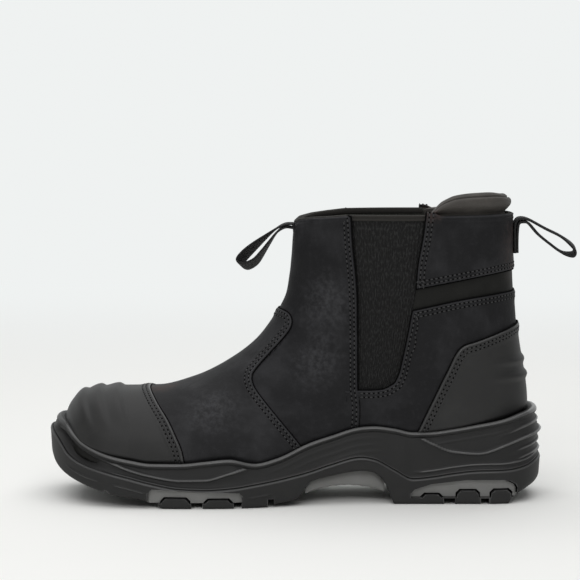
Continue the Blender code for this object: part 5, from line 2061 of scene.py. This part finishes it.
    def groove_prisms(self) -> list[tuple[Sequence[Point2], float, float]]:
        """Grooves across the tread: the notch behind the toe, those at both sides and those in the middle.

        Returns:
            Outlines in the side view, each with its two ends across the sole.
        """
        prisms = [(self.toe_notch, -self.far, self.far)]
        for ends in self.grooves:
            box = self.groove_box(*ends, self.groove_depth)
            prisms += [(box, sign * self.spine_half_width, sign * self.far) for sign in (-1, 1)]
        half = self.spine_half_width - self.centre_gap
        prisms += [(self.groove_box(*ends, self.centre_depth), -half, half) for ends in self.centre_grooves]
        return prisms

    def long_prisms(self) -> list[tuple[Sequence[Point2], float, float]]:
        """Grooves along the tread between its middle and its sides.

        Returns:
            Outlines in the side view, each with its two ends across the sole.
        """
        near, far = self.spine_half_width - self.long_half, self.spine_half_width + self.long_half
        low, high = self.groove_foot, self.long_top
        boxes = [[(a, low), (b, low), (b, high), (a, high)] for a, b in self.long_grooves]
        return [(box, sign * near, sign * far) for box in boxes for sign in (-1, 1)]

    def build_insole(self) -> None:
        """The footbed's cover inside the cup."""
        x = np.linspace(*self.insole_ends, self.insole_steps)
        z = SOLE.line("footbed", x) + self.insole_lift + self.insole_thickness
        _, share = LAST.locate(x, z)
        low, high = self.insole_shares
        keep = (share > low) & (share < high)
        line = LAST.trace(list(zip(x[keep], z[keep])), soft=False)
        outer, inner = (LAST.point(line.rows, sign * line.angles) for sign in (1, -1))
        across = np.linspace(0.0, 1.0, self.insole_columns)[None, :, None]
        inset = np.array([0.0, self.insole_inset, 0.0])
        points = (outer + inset)[:, None] * (1 - across) + (inner - inset)[:, None] * across
        points[..., 2] += self.insole_cup * np.abs(2 * across[..., 0] - 1) ** 4
        piece = lay_grid("insole_cover", points, points[..., :2])
        turn_out(piece, points[len(points) // 2, points.shape[1] // 2], (0.0, 0.0, 1.0))
        thicken(piece, self.insole_cover)
        finish_piece(piece, ("insole",), "insole_cloth", Finishes.INSOLE)

    def build(self) -> None:
        """Builds the sole."""
        self.build_midsole()
        self.build_outsole()
        self.build_arch()
        self.build_insole()


@dataclass
class Collar:
    """Padded roll round the back of the collar."""

    section: Line2 = (
        (-3.2, -14.0), (-3.2, -5.0), (-3.2, -0.6), (-2.8, 0.8), (-1.5, 2.4), (0.3, 4.6), (0.9, 6.6),
        (0.4, 8.4), (-0.7, 9.3), (-1.7, 9.3), (-1.9, 10.4), (-4.4, 11.7), (-8.2, 10.4), (-10.8, 6.0),
        (-11.2, -1.0), (-9.4, -9.0), (-6.0, -15.0),
    )
    rise: Line2 = (
        (-20.0, 0.06), (-13.0, 0.26), (-6.0, 0.55), (2.0, 0.77), (14.0, 0.88), (40.0, 0.93),
    )
    tilt: float = 0.009
    far_lag: float = 15.0
    half_sweep: float = math.radians(79.0)
    collar_z: float = 178.7
    steps: int = 120
    section_steps: int = 5
    lag_starts: Point2 = (-8.0, 30.0)
    end_steps: float = 6.0
    end_size: float = 0.06
    core_in: float = 5.2
    core_down: float = 2.0
    wrinkle: float = 0.2
    wrinkle_turns: Point2 = (0.35, 0.3)
    wrinkle_starts: float = 2.0
    girth: float = 60.0

    def build(self) -> None:
        """Sweeps the pad's section round the back and softens it."""
        turns = math.pi + np.linspace(-self.half_sweep, self.half_sweep, self.steps)
        top = np.full(len(turns), float(len(LAST.sections) - 1))
        place = LAST.point(top, turns)[:, :2]
        outward = unit(LAST.outward(top, turns)[:, :2])
        ring = rounded([*self.section, self.section[0]], self.section_steps)
        behind = place[:, 0] - self.far_lag * soft_step(place[:, 1], *self.lag_starts)
        lift = through(*zip(*self.rise), behind) * (1 - self.tilt * place[:, 1])
        end = np.minimum(np.arange(self.steps), np.arange(self.steps)[::-1]) / self.end_steps
        pinch = np.sqrt(1 - (1 - np.clip(end, 0.0, 1.0)) ** 2) * (1 - self.end_size) + self.end_size
        by_place, by_height = self.wrinkle_turns
        lines = []
        for out, up in ring:
            out_now = -self.core_in + (out + self.core_in) * pinch
            up_now = np.where(up > 0, up * lift, up)
            up_now = -self.core_down + (up_now + self.core_down) * pinch
            xy = place + outward * out_now[:, None]
            wrinkle = self.wrinkle * np.sin(place[:, 1] * by_place + up * by_height)
            z = self.collar_z + up_now + wrinkle * (up > self.wrinkle_starts)
            lines.append(np.column_stack([xy, z]))
        around = np.linspace(0.0, self.girth, len(ring))[:, None]
        piece = sweep("collar_pad_roll", np.array(lines), place, around)
        finish_piece(piece, ("collar_pad",), "lining", Finishes.PAD)


@dataclass
class Loop:
    """A flat webbing loop along a route in the side view."""

    name: str
    node: str
    route: Line2
    lean: Point2
    lean_span: Point2
    closed: bool
    width: float = 14.0
    thickness: float = 1.4
    squareness: float = 5.0
    route_steps: int = 10
    closing_steps: int = 4
    sides: int = 25

    def build(self) -> None:
        """Sweeps a flat rounded section along the route."""
        route = rounded(self.route, self.route_steps)
        run = np.gradient(route, axis=0)
        if self.closed:
            closing = rounded([self.route[-1], self.route[0]], self.closing_steps)
            route = np.vstack([route, closing[1:]])
            run = np.roll(route[:-1], -1, axis=0) - np.roll(route[:-1], 1, axis=0)
            run = np.vstack([run, run[:1]])
        across = unit(np.column_stack([-run[:, 1], run[:, 0]]))
        reach = np.abs(route[:, 0] - route[0, 0])
        share = soft_step(reach / reach.max(), *self.lean_span)
        flat, deep = squared_ring(self.sides, 2 / self.squareness)
        lines = []
        for y, face in zip(flat * self.width / 2, deep * self.thickness / 2):
            shift = -y / self.width * share
            x = route[:, 0] + across[:, 0] * face + shift * self.lean[0]
            z = route[:, 1] + across[:, 1] * face + shift * self.lean[1]
            lines.append(np.column_stack([x, np.full(len(x), y), z]))
        points = np.array(lines)
        piece = sweep(self.name, points, route, points[..., 1])
        finish_piece(piece, (self.node,), "webbing", Finishes.WEBBING)


LOOPS = (
    Loop(
        "front_loop_webbing",
        "pull_loop_front",
        (
            (-98.9, 171.0), (-104.1, 170.6), (-109.9, 167.6), (-117.3, 161.9), (-124.1, 156.2),
            (-129.5, 151.1), (-132.4, 147.2), (-131.6, 144.9), (-128.2, 144.4), (-122.6, 147.3),
            (-118.0, 153.2), (-113.9, 159.2), (-109.1, 165.6), (-104.1, 168.8), (-99.0, 168.5),
        ),
        lean=(-4.0, 5.4),
        lean_span=(0.14, 0.96),
        closed=True,
    ),
    Loop(
        "back_loop_webbing",
        "pull_loop_back",
        (
            (39.7, 152.8), (39.5, 160.0), (39.4, 167.6), (40.0, 172.0), (42.6, 174.4), (48.1, 173.6),
            (58.8, 167.9), (68.2, 163.2), (75.0, 158.0), (77.6, 154.4), (76.4, 151.7), (71.6, 152.1),
            (67.3, 154.2), (62.4, 157.8), (54.4, 164.3), (48.2, 171.2), (44.6, 172.2), (42.0, 171.2),
            (41.2, 166.4), (41.0, 159.0), (41.1, 153.0),
        ),
        lean=(-0.5, -2.1),
        lean_span=(0.72, 1.0),
        closed=False,
        thickness=1.7,
    ),
)
KEPT_BLOCKS = ("insert_forefoot_outer", "insert_forefoot_inner", "insert_heel_outer", "insert_heel_inner")


@dataclass(frozen=True)
class Lamp:
    """A soft rectangular light aimed at a point."""

    name: str
    place: Point3
    target: Point3
    size: Point2
    power: float

    def build(self) -> None:
        """Adds the light to the scene."""
        data = bpy.data.lights.new(self.name, "AREA")
        data.shape = "RECTANGLE"
        data.size, data.size_y = self.size
        data.energy = self.power
        light = bpy.data.objects.new(self.name, data)
        light.location = self.place
        aim = Vector(self.target) - Vector(self.place)
        light.rotation_euler = aim.to_track_quat("-Z", "Y").to_euler()
        bpy.context.scene.collection.objects.link(light)


@dataclass
class Studio:
    """Camera, lights and floor of the picture."""

    camera_place: Point3 = (-0.101, -1.550, 0.2803)
    camera_pitch: float = 5.57
    sensor: float = 36.0
    focal_pixels: float = 2480.0
    photo_pixels: float = 580.0
    floor_colour: Colour = (0.92, 0.92, 0.90)
    floor_roughness: float = 0.6
    floor_cells: tuple[int, int] = (8, 60)
    floor_size: float = 4.0
    bend_starts: float = 1.2
    bend_radius: float = 0.8
    backdrop: Colour = (0.865, 0.885, 0.88)
    backdrop_starts: Point2 = (0.35, 1.3)
    room_light: float = 0.16
    lamps: tuple[Lamp, ...] = (
        Lamp("overhead", (-0.2, 0.0, 1.7), (-0.1, 0.0, 0.0), (2.4, 2.4), 27.0),
        Lamp("front", (-0.25, -1.6, 1.15), (-0.1, 0.0, 0.1), (1.6, 0.8), 11.0),
    )

    def build(self) -> None:
        """Sets the camera, the lights, the world and the floor."""
        scene = bpy.context.scene
        data = bpy.data.cameras.new("camera")
        data.sensor_width = self.sensor
        data.lens = self.focal_pixels / self.photo_pixels * self.sensor
        camera = bpy.data.objects.new("camera", data)
        camera.location = self.camera_place
        camera.rotation_euler = (math.pi / 2 - math.radians(self.camera_pitch), 0.0, 0.0)
        scene.collection.objects.link(camera)
        scene.camera = camera
        scene.view_settings.view_transform = "Standard"
        world = bpy.data.worlds.new("studio")
        world.use_nodes = True
        world.node_tree.nodes["Background"].inputs["Color"].default_value = (*WHITE, 1.0)
        world.node_tree.nodes["Background"].inputs["Strength"].default_value = self.room_light
        scene.world = world
        for lamp in self.lamps:
            lamp.build()
        self.build_floor()

    def build_floor(self) -> None:
        """A floor that curves up into the backdrop."""
        across, deep = self.floor_cells
        bm = bmesh.new()
        bmesh.ops.create_grid(bm, x_segments=across, y_segments=deep, size=self.floor_size)
        radius = self.bend_radius
        for vert in bm.verts:
            past = max(vert.co.y - self.bend_starts, 0.0)
            turn = min(past / radius, math.pi / 2)
            rise = radius * (1 - math.cos(turn)) + max(past - radius * math.pi / 2, 0.0)
            vert.co.y = min(vert.co.y, self.bend_starts) + radius * math.sin(turn)
            vert.co.z = rise
        floor = add_piece("floor", bm)
        graph = Graph("pale_floor")
        depth = graph.node("ShaderNodeSeparateXYZ", None, {0: graph.place()}, out="Y")
        far = depth.between(*self.backdrop_starts)
        graph.set(Base_Color=graph.mix(far, self.floor_colour, BLACK), Roughness=self.floor_roughness)
        graph.set(Emission_Color=graph.mix(far, BLACK, self.backdrop), Emission_Strength=1.0)
        graph.set(Specular_IOR_Level=0.0)
        floor.data.materials.append(graph.material)


def show_block(frame: dict, node: str, finish: Finishes) -> None:
    """Gives a CAD node that stays in view its own finish.

    Args:
        frame: The loaded frame.
        node: Name of the node.
        finish: Its finish.
    """
    block = frame["nodes"][node]
    block.data.materials.clear()
    block.data.materials.append(finish.material())
    soft = block.modifiers.new("soft edges", "BEVEL")
    soft.width = BLOCK_EDGE * MM
    soft.segments = BLOCK_SEGMENTS
    soft.limit_method = "ANGLE"
    soft.harden_normals = False
    LOG.info("%s: kept", node)


def main() -> None:
    """Builds the boot's pieces in order and the studio round them."""
    logging.basicConfig(level=logging.INFO, format="%(message)s")
    for leftover in list(bpy.data.objects):
        bpy.data.objects.remove(leftover)
    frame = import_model()
    stitching = Stitching()
    Upper().build(stitching)
    stitching.sew()
    Sole().build()
    Collar().build()
    for loop in LOOPS:
        loop.build()
    for node in KEPT_BLOCKS:
        show_block(frame, node, Finishes.GREY)
    Studio().build()


if __name__ == "__main__":
    main()
